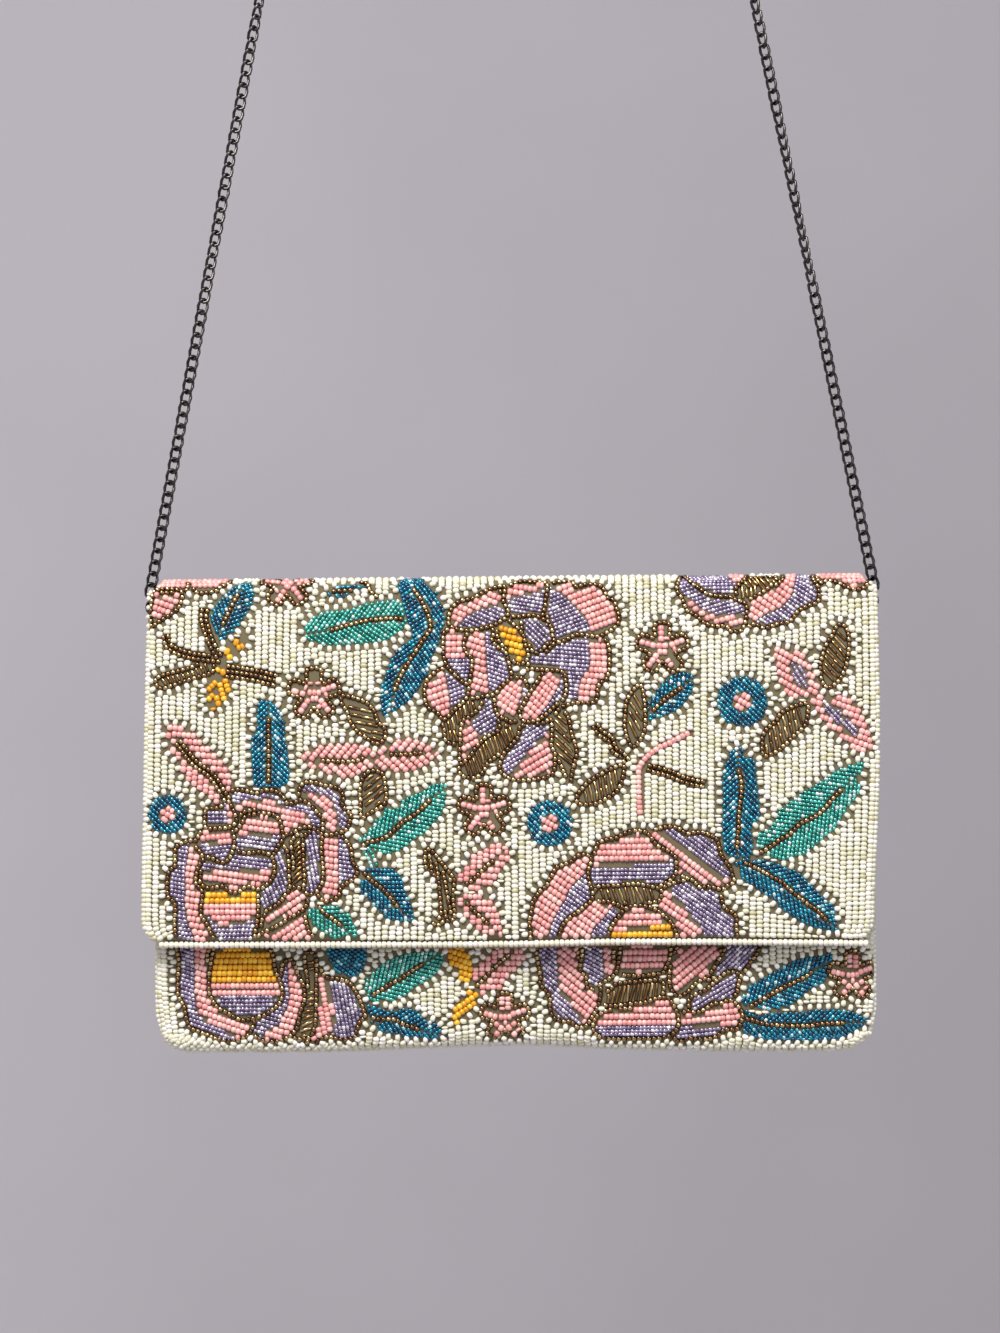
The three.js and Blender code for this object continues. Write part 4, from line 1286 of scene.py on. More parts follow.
def left_peony() -> list[Motif]:
    """The peony at the flap's lower left, which the flap's edge cuts off."""
    return [
        Petal([(-107.2, 89), (-111, 89), (-113.2, 89.9), (-114.8, 91.3), (-115.2, 97.6), (-116.4, 98.6),
            (-117.6, 101), (-117.7, 107.6), (-116.5, 109), (-115.3, 110), (-115.3, 117.8), (-115, 120.2),
            (-114.3, 125), (-100.6, 125), (-102.4, 121.3), (-103.6, 118.9), (-104.8, 116.4),
            (-106.4, 114.6), (-105.9, 107.7), (-106.3, 105.3), (-107.9, 104), (-107.4, 98.4),
            (-105.5, 95.4), (-106.3, 93), (-108, 91)], rows=10, meeting=[(-110, 88), (-110.5, 93),
            (-111.7, 100), (-111.5, 104), (-111.8, 110), (-111, 116), (-109.5, 120), (-107, 126)],
            other_at=(-114, 105)),
        Petal([(-104.8, 80.3), (-104.5, 78.3), (-101.4, 78), (-99, 77.2), (-96.9, 75.6), (-95, 79),
            (-94, 82), (-96, 84.3), (-101, 84.8), (-104.5, 84.5)], rows=0, meeting=[(-97.5, 74), (-97, 86)],
            other_at=(-101, 81)),
        Petal([(-107, 86.8), (-104.6, 85.2), (-100, 84.8), (-96, 85), (-95, 87), (-95, 91), (-96.2, 94.4),
            (-97.8, 96), (-99.4, 96.4), (-102.2, 95.1), (-104.7, 94.3), (-106.3, 93), (-107.2, 89)],
            rows=-5, meeting=[(-108, 90), (-94, 90)], other_at=(-100, 93)),
        Petal([(-94.5, 86), (-92.5, 83.5), (-91, 81), (-86, 79.8), (-81, 80.6), (-79, 83), (-78.5, 86),
            (-78.3, 88.5), (-80, 91), (-81.3, 93.5), (-86.8, 93), (-92.5, 93), (-95, 91)], rows=8,
            meeting=[(-96, 87.3), (-77, 87.3)], other_at=(-87, 90)),
        Petal([(-96, 72.4), (-93.3, 71.7), (-90.5, 72.1), (-87.6, 73), (-85.1, 72.2), (-83.1, 71.9),
            (-81, 72.3), (-79.4, 73.2), (-77.8, 74.8), (-76.6, 76.5), (-74.5, 76.5), (-72.5, 75.4),
            (-70, 76.3), (-68, 78), (-66.4, 80.1), (-64.8, 81.7), (-65.3, 87.2), (-67.7, 85), (-70.2, 84.6),
            (-72.6, 85), (-74.7, 86.5), (-77.5, 87), (-78.5, 86), (-79, 83), (-81, 80.6), (-84.8, 78.7),
            (-91.5, 79.4), (-94, 82), (-95, 79), (-96.9, 75.6)], rows=12, meeting=[(-97, 78.5), (-95, 77),
            (-90, 75.5), (-82, 75.5), (-77, 78.5), (-71, 80), (-68, 85)], other_at=(-85, 73.6)),
        Petal([(-72.8, 72.5), (-71.6, 70), (-69, 69.3), (-63.7, 70.6), (-61.3, 71), (-58.8, 72.3),
            (-57.7, 74.5), (-58, 77.6), (-55.3, 80.5), (-56, 84), (-57.3, 86), (-64.5, 87), (-64.8, 81.7),
            (-66.4, 80.1), (-70, 76.3), (-72.5, 75.4)], rows=40, meeting=[(-73, 72.5), (-70.5, 72.8),
            (-64, 74.5), (-60.5, 78.5), (-59.5, 88)], other_at=(-62, 72.5)),
        Petal([(-64.8, 87.6), (-60, 86.8), (-56.7, 89.6), (-55.2, 92.5), (-54.8, 96.7), (-53.2, 99),
            (-54.5, 102.3), (-58.5, 104.7), (-59.4, 107.5), (-61, 109.1), (-64.3, 109.7), (-67, 107),
            (-65, 103)], rows=10, meeting=[(-59.7, 85), (-59.7, 111)], other_at=(-57, 96)),
        Petal([(-105.5, 95.4), (-104.7, 94.3), (-102.2, 95.1), (-99.4, 96.4), (-96.2, 94.4), (-92.5, 93.2),
            (-89.7, 94.4), (-86.8, 93.3), (-82.7, 94.1), (-81.5, 95.8), (-81.6, 101.1), (-84.9, 104.7),
            (-87.5, 105.6), (-89, 104.7), (-91, 104.7), (-93, 106), (-95, 106.6), (-97, 106), (-99, 104.5),
            (-104.3, 105), (-106.5, 103)], rows=8, meeting=[(-107, 99), (-80, 99)], other_at=(-92, 96)),
        Petal([(-104.8, 105.3), (-102, 104.5), (-99, 104.5), (-97, 106), (-95, 106.6), (-93, 106),
            (-91, 104.7), (-89, 104.7), (-87.3, 106), (-86.8, 110), (-87.3, 117), (-88, 121), (-89.3, 125),
            (-100.6, 125), (-103.5, 118.5), (-105.4, 115)], GOLD, 0, Beads.PINK, [(-107, 110.2),
            (-85, 110.2)], (-95, 115)),
        Petal([(-104, 114.5), (-101, 117.5), (-98, 117.8), (-92, 116.5), (-88, 115.5), (-88, 121),
            (-89.3, 125), (-100.6, 125), (-103.5, 118.5)], VIOLET, 0, edged=False),
        Petal([(-78.6, 91), (-77.2, 92), (-76.6, 95.7), (-76.2, 103), (-76.3, 105.5), (-78, 108),
            (-80, 110.4), (-82.5, 112), (-85, 113.2), (-86.5, 113.5), (-86.4, 105.5), (-84.9, 104.7),
            (-83.2, 103), (-81.6, 101.1), (-81.5, 95.8), (-80.5, 93)], VIOLET, 70),
        Sheaf([(-75.3, 89), (-75.3, 93), (-74.8, 97), (-75.3, 101), (-74.7, 105), (-71.6, 104.5),
            (-71.1, 101), (-71.4, 97), (-71.4, 92), (-72.2, 87)], -40, 1.4, 3.8),
        Petal([(-71, 88), (-69.5, 86.3), (-67, 86), (-65.6, 88), (-65.2, 93), (-65.2, 101), (-66.4, 104.5),
            (-69, 107.5), (-71.5, 106), (-70.8, 101), (-71, 92)], VIOLET, 80),
        Petal([(-86, 118.5), (-85.3, 115), (-82.5, 113), (-79.5, 110.5), (-77, 108), (-74.5, 106),
            (-71.5, 106), (-70, 108), (-71.5, 112.4), (-76.7, 115.6), (-80, 117.6), (-86, 120.4)],
            rows=-33),
        Petal([(-87.5, 125), (-86, 120.4), (-80, 117.6), (-76.7, 115.6), (-71.5, 112.4), (-70.9, 116),
            (-69.7, 119.5), (-68.4, 121.5), (-67, 125)], rows=-33),
    ]


def right_peony() -> list[Motif]:
    """The peony at the flap's lower edge, right of the middle, and the leaves beside it."""
    return [
        Petal([(5.8, 125), (5, 120.2), (4.8, 116.5), (5.6, 113.3), (6, 110.4), (7.5, 108.4), (8.3, 106.8),
            (10.4, 105.6), (11.6, 103.1), (12.9, 101.1), (14.1, 99), (17, 97.9), (19.1, 97.1), (20.7, 95.5),
            (22.7, 94.7), (24.7, 95.1), (26, 96.8), (25.1, 99.2), (24.8, 102.4), (25.4, 104.9),
            (26.2, 107.4), (25.8, 110.2), (23.3, 112.3), (20.9, 114.4), (18.4, 116), (16.4, 118),
            (15.1, 120.5), (14.5, 125)], rows=35, meeting=[(26, 97), (24, 100.8), (20.7, 104),
            (18.3, 106.6), (17.5, 109), (15, 112.7), (13.3, 116), (12, 118.8), (10.3, 126)],
            other_at=(20, 110)),
        Petal([(25.8, 110.6), (28.7, 110.6), (31.5, 110.8), (36, 112.6), (36.2, 114.2), (34.5, 116.3),
            (32.8, 118.7), (31.9, 120.7), (30.4, 125), (14.7, 125), (15.1, 120.5), (16.4, 118), (18.4, 116),
            (20.9, 114.4), (23.3, 112.3)], rows=35, meeting=[(34, 111), (32, 113.3), (29.5, 116.7),
            (27, 119.2), (25.7, 121.6), (24.3, 126)], other_at=(31.6, 118)),
        Petal([(30.4, 125), (31.9, 120.7), (32.8, 118.7), (34.5, 116.3), (36.2, 114.2), (38.5, 112.6),
            (43.3, 112.4), (46.9, 113.3), (49.4, 115), (51.7, 117.1), (53.4, 119.2), (54.5, 122.1),
            (55.3, 125)], rows=0, other=GOLD, meeting=[(30, 121.5), (38.3, 120.6), (43.2, 119.5),
            (48.5, 118.8), (55, 118)], other_at=(43, 123)),
        Sheaf([(27.5, 106), (31, 105.4), (36, 105.2), (41, 104.8), (46, 105.8), (49.3, 107), (48.7, 110.6),
            (44, 111.2), (38, 111.3), (32, 110.9), (27, 109.8)], 72, 2.0, 4.2),
        Petal([(26, 96.8), (27.3, 93.5), (27.8, 91.5), (29.4, 90.3), (31.9, 89.7), (34.4, 89.3), (36, 88.3),
            (38.5, 87.3), (41, 86.8), (43, 87), (44.6, 87.6), (46.2, 89.3), (47.4, 91), (49, 92.6),
            (51.4, 93.5), (53, 94.7), (54.2, 96), (54.5, 98.4), (54.4, 101.3), (52.7, 103.7), (49.6, 105.3),
            (47.9, 106.5), (45.5, 106.3), (43.5, 105.2), (38.2, 104.7), (33.7, 105.6), (27.6, 105.3),
            (25.4, 104.9), (24.8, 102.4), (25.1, 99.2)], rows=0, meeting=[(24, 99.4), (30.5, 98.7),
            (40, 98.4), (48, 98), (56, 95.6)], other_at=(40, 102)),
        Petal([(46.2, 88.5), (48, 86.5), (51.6, 85.7), (55.3, 86.1), (58.2, 88), (61.4, 87.6), (64.1, 87.8),
            (66.4, 88.8), (68.2, 90), (69.1, 91.9), (69.5, 94.2), (70.4, 96.5), (71.8, 98.3), (73.1, 100.2),
            (73.6, 102.5), (74.2, 104.6), (72.2, 105.7), (70.3, 107), (67.2, 106.4), (64.9, 106),
            (62.6, 106.3), (60.3, 104), (58, 103), (55.8, 102.1), (54.4, 101.3), (54.5, 98.4), (54.2, 96),
            (53, 94.7), (51.4, 93.5), (49, 92.6)], rows=38, meeting=[(46, 86), (50, 88), (56, 92), (59, 94),
            (62, 96.3), (65.5, 99), (68, 101.5), (71.5, 103.3), (75, 105)], other_at=(66, 93)),
        Petal([(50, 106.5), (54, 104.5), (58, 104), (62.6, 106.3), (67.2, 106.4), (69, 107.1),
            (69.6, 109.2), (70.3, 112.4), (71.6, 114), (73.9, 115.2), (74.8, 117), (74.7, 119.8),
            (74.4, 125), (55.3, 125), (54.5, 122.1), (53.4, 119.2), (51.7, 117.1), (49.4, 115), (48, 112.5),
            (49, 109.5)], rows=35, meeting=[(53, 104), (53.2, 109.3), (56.5, 111.7), (58, 114.5),
            (60.7, 117.5), (62.5, 120), (65, 126)], other_at=(65, 113)),
        Leaf([(76.3, 58.5), (72.6, 61.6), (70.7, 66), (70.4, 76), (70.3, 92.3), (71, 94.5), (74, 96.4),
            (80, 96), (81, 92), (80.5, 85.4), (82.8, 83.6), (83.3, 80.9), (82.3, 69.5), (81.7, 64),
            (79, 61.7)], [(75.9, 66.6), (77, 71.7), (76.2, 80), (75.6, 88), (75.2, 93.7)]),
        Leaf([(118.5, 64.5), (109, 67), (103.4, 71), (96, 75.5), (90, 80.4), (88.3, 83.6), (85.7, 86.8),
            (82.7, 87.8), (82, 94), (87.7, 96.7), (91.4, 97.7), (93.7, 96.4), (98.7, 95.5), (102.4, 92.4),
            (106, 89.3), (109.8, 86.2), (112.7, 80.8), (117, 75.4), (117.5, 69.5)], [(111, 73.5), (106, 79),
            (102.5, 82.4), (97, 85.1), (92.3, 89.2), (89.6, 90.5), (86.8, 92.7), (82.7, 94.9)], SEA),
        Leaf([(74.5, 98), (77.7, 96.6), (83.2, 96.7), (89.5, 98.6), (93.6, 100.5), (95.9, 101),
            (98.1, 103.3), (100.8, 106.1), (103.1, 108.9), (106.2, 111.6), (108, 113.5), (108.4, 118),
            (109.7, 120.8), (107.9, 121.7), (103.8, 121.2), (98.8, 119.7), (95.3, 117.8), (92.6, 116),
            (89.4, 113.6), (87.2, 110.8), (83.1, 108.5), (80.4, 106.2), (76.3, 103.8), (75.9, 102),
            (75, 99.7)], [(77.3, 97.9), (80, 99.1), (83.2, 100.7), (86.8, 103), (90.4, 104.9),
            (93.2, 107.6), (96.4, 110.4), (99.5, 112.7), (102.7, 115), (105.4, 118.2)]),
        Ring((12, 84.2), 7.9, 3.0),
    ]


def pouch_left_motifs() -> list[Motif]:
    """The left half of the pattern on the pouch, from the flap's lower edge down."""
    return [
        Petal([(-114.7, 122), (-114.7, 131), (-115.2, 140.1), (-114.5, 143.2), (-113.1, 145.4),
            (-112.4, 149.3), (-111.3, 152.7), (-108.9, 153.8), (-106, 155), (-103.7, 156), (-101.3, 157.6),
            (-97.8, 158.4), (-94.6, 158.2), (-92.1, 156.3), (-90.1, 153.9), (-89, 150), (-92.3, 150.4),
            (-95.2, 149.6), (-98.5, 147.6), (-101.3, 146.1), (-103.7, 142.7), (-104.5, 139.8),
            (-104.4, 135.5), (-103.8, 131), (-103, 122)], rows=20, meeting=[(-109.3, 121), (-109.3, 136),
            (-109.5, 141), (-109, 144), (-108, 148), (-105, 151), (-101.5, 152.5), (-97.5, 154.7),
            (-95, 157), (-94, 160)], other_at=(-111, 150)),
        Petal([(-103.8, 126), (-104.4, 135.5), (-104.5, 139.8), (-103.7, 142.7), (-101.3, 146.1),
            (-98.5, 147.6), (-95.2, 149.6), (-92.3, 150.4), (-88.7, 149.5), (-85.8, 148.8), (-82.9, 147),
            (-80.4, 144.7), (-79.4, 141.4), (-79.9, 138), (-81.5, 134), (-84, 126)], GOLD, 0, Beads.PINK,
            [(-106, 137.5), (-78, 137.5)], (-92, 140)),
        Petal([(-104, 142.5), (-78, 142.5), (-80.4, 144.7), (-82.9, 147), (-85.8, 148.8), (-88.7, 149.5),
            (-92.3, 150.4), (-95.2, 149.6), (-98.5, 147.6), (-101.3, 146.1)], VIOLET, 0, edged=False),
        Petal([(-74, 134.8), (-72.2, 138.7), (-71.8, 143.6), (-73.3, 147.3), (-73.8, 150.2), (-74.4, 153),
            (-76.3, 155.4), (-78.8, 157.7), (-82.2, 158.8), (-85.1, 158.5), (-87.4, 157), (-89.2, 154.5),
            (-88.7, 149.5), (-85.8, 148.8), (-82.9, 147), (-80.4, 144.7), (-79.4, 141.4), (-79.9, 138),
            (-79, 131), (-76, 130)], rows=15, meeting=[(-77.4, 129), (-77.4, 137.3), (-77.1, 144),
            (-79.2, 148.6), (-81.2, 152.5), (-85.2, 154.3), (-87.5, 158)], other_at=(-81, 149)),
        Sheaf([(-71.6, 128), (-70.7, 139), (-71.8, 145), (-73.3, 149.3), (-73.9, 154), (-75, 157),
            (-70.6, 157), (-68.6, 153), (-68, 147), (-67.8, 137.5), (-68.2, 128)], -12, 2.0, 3.6),
        Petal([(-67.8, 128), (-64.9, 135.6), (-60.6, 136.4), (-56.8, 137.7), (-54.9, 140.1), (-53, 143.5),
            (-52, 146.8), (-51.3, 149.5), (-53.2, 151.4), (-54.1, 154.1), (-55, 156.8), (-60, 157.5),
            (-64, 156.3), (-67.9, 158.6), (-75.4, 158.1), (-70.6, 157), (-68.6, 153), (-68, 147),
            (-67.8, 137.5)], rows=80, meeting=[(-66, 128), (-63.5, 140), (-63.1, 142.8), (-61.7, 146.2),
            (-61.7, 150.5), (-62.3, 153.4), (-64.2, 160)], other_at=(-57, 146)),
        Petal([(-64, 126), (-62, 133), (-57, 136), (-52, 134), (-51, 126)], FOREST, 40, edged=False),
        Leaf([(-51.1, 138), (-48.9, 134.4), (-43, 130), (-35.3, 127.7), (-24.7, 127.9), (-24.8, 131.5),
            (-28.5, 136.6), (-34.5, 140.1), (-38, 143), (-42.7, 144.5), (-50.4, 143.4)], [(-49, 142.4),
            (-45.8, 140.4), (-41.6, 137.8), (-38, 136), (-34.3, 133.4), (-31.5, 131.6)], SEA),
        Leaf([(-50.4, 145.3), (-42.8, 147.3), (-36.8, 146.4), (-33.7, 147.4), (-31.4, 150.1),
            (-27.8, 151.6), (-26, 153.5), (-25.1, 156.7), (-28.3, 158), (-32, 157.3), (-36.5, 157),
            (-41, 156), (-45.6, 155), (-48.3, 152.7), (-50.1, 150.4)], [(-51, 149), (-46.5, 150.4),
            (-41.5, 150.5), (-38.3, 152.1), (-35.2, 153.3), (-32.9, 154.2)]),
        Petal([(-22.6, 126), (-22.4, 132.2), (-19.7, 134), (-19.3, 137.3), (-14.7, 137.8), (-14.5, 131.8),
            (-17.5, 126)], GOLD, 20, edged=False),
        Petal([(-14, 140.6), (-12.6, 143.1), (-14, 146.3), (-16.3, 148.6), (-18.6, 150.4), (-19.6, 152.7),
            (-21.4, 152.2), (-21.6, 147.6), (-19.9, 144.9), (-17.6, 143), (-16.2, 140.8)], GOLD, -35,
            edged=False),
        Leaf([(-14.7, 136), (-14, 133), (-11, 130.5), (-7, 127), (2, 127), (3.4, 130), (0, 134.5),
            (-3, 137), (-5, 140.5), (-8, 141), (-11.5, 142.8), (-12.5, 141)], [(-13.7, 139.5),
            (-11.4, 137.6), (-8.1, 134), (-5.3, 131.3), (-2, 128.6)], Beads.PINK),
        Blossom((-3.8, 150.2), 8.5),
    ]


def pouch_right_motifs() -> list[Motif]:
    """The right half of the pattern on the pouch."""
    return [
        Blossom((114.7, 137.2), 8.5),
        Petal([(7.7, 126), (7.7, 132.6), (8.4, 136.3), (8.2, 139), (10.2, 141.3), (11.5, 143.6),
            (11.5, 147.2), (12.8, 150.4), (15.5, 151.8), (18.7, 151.9), (20.5, 153.7), (23.6, 153.5),
            (26, 150), (28.1, 146), (28.8, 139.3), (27.4, 140.8), (24.3, 140.4), (23.9, 137), (21.9, 134.2),
            (22, 126)], rows=40, meeting=[(14, 125), (14.4, 136), (14.8, 140.5), (17, 144), (19.2, 146.5),
            (21, 149.3), (24, 155)], other_at=(11, 141)),
        Petal([(22, 126), (21.9, 134.2), (23.9, 137), (24.3, 140.4), (27.4, 140.8), (28.8, 139.3),
            (34.1, 135.3), (35, 131), (35, 126)], VIOLET, 30, Beads.PINK, [(29.5, 125), (30, 137)],
            (33, 131)),
        Sheaf([(29.2, 143), (32, 141), (34.3, 139), (41.1, 138.4), (45.7, 138), (49.8, 138.4), (49.8, 143),
            (46.5, 144.6), (43.3, 145.6), (38.7, 146), (31.9, 146.6), (29.4, 146)], -78, 1.5),
        Petal([(34.6, 126), (34.1, 135.3), (38.2, 136.2), (42.2, 136.5), (46.8, 135.9), (50.4, 135),
            (52, 126)], rows=0),
        Petal([(28.1, 149.5), (26.3, 152.2), (26.2, 154.9), (28.9, 157.7), (33.9, 158.5), (39.8, 158.3),
            (45.3, 158.4), (49.9, 158), (53.5, 156.2), (55, 153.5), (55, 149.9), (54.1, 147.6),
            (52.8, 145.3), (50.9, 143.9), (46, 146), (38, 147.5), (32, 148)], rows=0, meeting=[(24, 153.4),
            (57, 153.4)], other_at=(40, 156)),
        Petal([(57.9, 148.6), (61.1, 149.3), (63.8, 148.2), (66.6, 146.4), (69.7, 146), (73, 145.2),
            (76.7, 148.9), (76.6, 152.2), (74.8, 155.1), (70.8, 155.2), (69.4, 156.5), (66.2, 158.3),
            (62.6, 158.9), (58.9, 158.2), (56.7, 159.5), (53.9, 159.4), (55, 153.5), (56, 150)], rows=-5,
            meeting=[(52, 153.7), (78, 153.7)], other_at=(62, 156)),
        Petal([(58.5, 146), (60, 143.5), (63.5, 142), (68, 138.5), (72, 135.5), (76.4, 136.3),
            (75.8, 138.9), (75.2, 141.9), (74.1, 144.1), (70, 145.8), (66, 146), (63.5, 148), (60.5, 149)],
            VIOLET, -30),
        Petal([(52.2, 136), (53, 131), (56, 126), (71, 126), (68.5, 132), (65, 137), (61, 139.3),
            (58.5, 142), (56, 143.5), (54, 143), (52.3, 140)], rows=-40),
        Petal([(71, 126), (68.5, 132), (65, 138), (72, 135.5), (76.4, 136.3), (79, 133.4), (83, 126)],
            VIOLET, -45),
        Leaf([(76.7, 146), (77.1, 143.4), (78.6, 140.8), (83.1, 138), (89.7, 134.3), (94.9, 131.5),
            (104.5, 130), (107.5, 129), (107.4, 133.8), (105.9, 137.4), (104.4, 139.9), (100.7, 141.7),
            (97, 144.6), (94.8, 146.4), (91, 148.2), (80, 148.5)], [(79.3, 147.5), (83.4, 145.3),
            (87.5, 142.8), (90.8, 141), (94.1, 139.6), (98.2, 137.5), (101.2, 135.6)]),
        Leaf([(78, 148.5), (81.1, 150.1), (91, 149), (94.7, 149.4), (99.2, 148.8), (105.8, 148.5),
            (113.2, 149), (116.9, 150.6), (120.2, 152.5), (119.4, 154.3), (115.3, 156.1), (112.3, 158.6),
            (107.5, 160), (96.4, 160.1), (85.3, 159.4), (79.9, 157.8), (77.3, 156.3), (76.6, 153.7)],
            [(77.8, 151.5), (80.7, 152), (83.3, 153.1), (86.6, 153.7), (91, 154), (96.5, 154.2),
            (100.6, 154.1), (103.9, 153.6), (112, 153.2)]),
    ]


@dataclass
class Strand:
    """Beads of one kind that have found their places in the chart."""

    beads: Beads
    middle: np.ndarray
    angle: np.ndarray
    length: np.ndarray
    pale: np.ndarray


@dataclass
class Chart:
    """The chart of one panel: which bead lies where, on a fine raster of the unrolled cloth."""

    low: Point
    high: Point
    cell: float = 0.25
    draw_in: float = 18.0  # how wide the stretch is where outer columns draw in at a corner
    string_pitch: float = 1.7
    string_room: float = 0.92  # from the middle of a strung bead to its neighbours
    closest: float = 1.3  # between the middles of two strung beads
    contour_out: float = 1.85  # from a motif's edge to the cream string round it

    def __post_init__(self) -> None:
        """Lays out the raster."""
        self.shape = (
            int((self.high[1] - self.low[1]) / self.cell) + 1,
            int((self.high[0] - self.low[0]) / self.cell) + 1,
        )
        self.fields = np.zeros(self.shape, np.int16)
        self.taken = np.zeros(self.shape, bool)
        self.specs: list[tuple[Beads, float, float, float]] = []
        self.strung: list[np.ndarray] = []
        self.strands: list[Strand] = []
        self.outlines: list[tuple[np.ndarray, float]] = []
        self.strings: list[tuple[np.ndarray, bool, Beads]] = []

    def index(self, places: np.ndarray) -> tuple[np.ndarray, np.ndarray, np.ndarray]:
        """The raster cells of some places, and which of the places are on the raster."""
        column = np.round((places[..., 0] - self.low[0]) / self.cell).astype(int)
        row = np.round((places[..., 1] - self.low[1]) / self.cell).astype(int)
        inside = (row >= 0) & (row < self.shape[0]) & (column >= 0) & (column < self.shape[1])
        return np.clip(row, 0, self.shape[0] - 1), np.clip(column, 0, self.shape[1] - 1), inside

    def within(self, curve: np.ndarray) -> tuple[slice, slice, np.ndarray]:
        """Finds the cells inside a closed curve, as two slices of the raster and a mask of what they hold."""
        row_low, column_low, _ = self.index(curve.min(axis=0) - 1)
        row_high, column_high, _ = self.index(curve.max(axis=0) + 1)
        rows, columns = slice(int(row_low), int(row_high) + 1), slice(int(column_low), int(column_high) + 1)
        x = self.low[0] + self.cell * np.arange(columns.start, columns.stop)[None, :]
        y = self.low[1] + self.cell * np.arange(rows.start, rows.stop)[:, None]
        inside = np.zeros((y.size, x.size), bool)
        for (x0, y0), (x1, y1) in zip(curve, np.roll(curve, -1, axis=0)):
            if y0 != y1:
                inside ^= ((y0 > y) != (y1 > y)) & (x < x0 + (y - y0) * (x1 - x0) / (y1 - y0))
        return rows, columns, inside

    def paint(
        self, curve: np.ndarray, beads: Beads, angle: float, pitch: float = 0.0, rows: float = 0.0
    ) -> int:
        """Gives the inside of a curve to a kind of bead.

        Args:
            curve: The closed curve.
            beads: The kind of bead.
            angle: Degrees that the rows are turned from level.
            pitch: How far apart the beads of a row lie, or 0 for the kind's own.
            rows: How far apart the rows lie, or 0 for the kind's own.

        Returns:
            The field's number.
        """
        form = FORMS[beads]
        self.specs.append((beads, angle, pitch or form.pitch, rows or form.rows))
        rows_in, columns_in, inside = self.within(curve)
        self.fields[rows_in, columns_in][inside] = len(self.specs)
        return len(self.specs)

    def divide(self, number: int, line: np.ndarray, at: Point, beads: Beads, angle: float) -> None:
        """Gives one side of a line in a field to another kind of bead.

        Args:
            number: The field.
            line: The line across it.
            at: A place on the side that changes.
            beads: The other kind of bead.
            angle: Degrees that its rows are turned from level.
        """
        form = FORMS[beads]
        self.specs.append((beads, angle, form.pitch, form.rows))
        rows, columns = np.nonzero(self.fields == number)
        places = np.column_stack([self.low[0] + self.cell * columns, self.low[1] + self.cell * rows])
        changed = self._side(places, line) == self._side(np.array([at]), line)[0]
        self.fields[rows[changed], columns[changed]] = len(self.specs)

    @staticmethod
    def _side(places: np.ndarray, line: np.ndarray) -> np.ndarray:
        """Says for each place on which side of a line it lies, by the line's nearest stretch."""
        start, way = line[:-1], np.diff(line, axis=0)
        offset = places[:, None, :] - start[None]
        share = np.clip((offset * way).sum(axis=2) / (way * way).sum(axis=1), 0, 1)
        away = offset - share[:, :, None] * way[None]
        nearest = np.argmin((away * away).sum(axis=2), axis=1)
        each = np.arange(len(places))
        cross = way[nearest, 0] * offset[each, nearest, 1] - way[nearest, 1] * offset[each, nearest, 0]
        return cross > 0

    @staticmethod
    def _flat(points: Points) -> np.ndarray:
        """Turns places in the front view into places across and along the unrolled cloth."""
        given = np.array(points, float)
        return np.column_stack([given[:, 0], unrolled(given[:, 1])])

    def draw(self, motif: Motif) -> None:
        """Paints a motif's fields and notes its strings."""
        match motif:
            case Petal():
                outline = smooth(self._flat(motif.outline), True)
                number = self.paint(outline, motif.beads, motif.rows)
                if len(motif.meeting):
                    line = smooth(self._flat(motif.meeting), False)
                    self.divide(number, line, tuple(self._flat([motif.other_at])[0]), motif.other, motif.rows)
                if motif.edged:
                    self.strings.append((outline, True, Beads.BRONZE))
                self.outlines.append((outline, 0.0 if motif.edged else -0.9))
            case Leaf():
                midrib = smooth(self._flat(motif.midrib), False)
                self._draw_leaf(smooth(self._flat(motif.outline), True), midrib, motif)
            case Sheaf():
                outline = smooth(self._flat(motif.outline), True)
                self.paint(outline, Beads.BUGLE, motif.angle, motif.length + 0.2, motif.pitch)
                self.strings.append((outline, True, Beads.BRONZE))
                self.outlines.append((outline, 0.0))
            case Stem():
                line = smooth(self._flat(motif.line), False)
                way = np.gradient(line, axis=0)
                normal = np.column_stack([-way[:, 1], way[:, 0]]) / np.linalg.norm(way, axis=1, keepdims=True)
                width = 1.75 if motif.beads in (Beads.BRONZE, SEA) else 2.1
                for i in range(motif.strings):
                    shift = normal * width * (i - (motif.strings - 1) / 2)
                    self.strings.append((line + shift, False, motif.beads))
            case Blossom():
                self._draw_blossom(motif)
            case Ring():
                self._draw_ring(motif)

    def _draw_leaf(self, outline: np.ndarray, midrib: np.ndarray, leaf: Leaf) -> None:
        """Paints a leaf's two halves, with rows that slant away from the midrib, and strings the midrib."""
        way = midrib[-1] - midrib[0]
        along = math.degrees(math.atan2(way[1], way[0]))
        number = self.paint(outline, leaf.beads, along + leaf.slant)
        sideways = np.array([-way[1], way[0]]) / np.linalg.norm(way)
        reach = np.vstack([midrib[0] - way, midrib, midrib[-1] + way])
        other_half = tuple(midrib[len(midrib) // 2] - 3 * sideways)
        self.divide(number, reach, other_half, leaf.beads, along - leaf.slant)
        step = np.gradient(midrib, axis=0)
        normal = np.column_stack([-step[:, 1], step[:, 0]]) / np.linalg.norm(step, axis=1, keepdims=True)
        for i in range(leaf.ribs):
            shift = normal * self.string_pitch * (i - (leaf.ribs - 1) / 2)
            self.strings.append((midrib + shift, False, Beads.BRONZE))
        self.outlines.append((outline, -0.9))

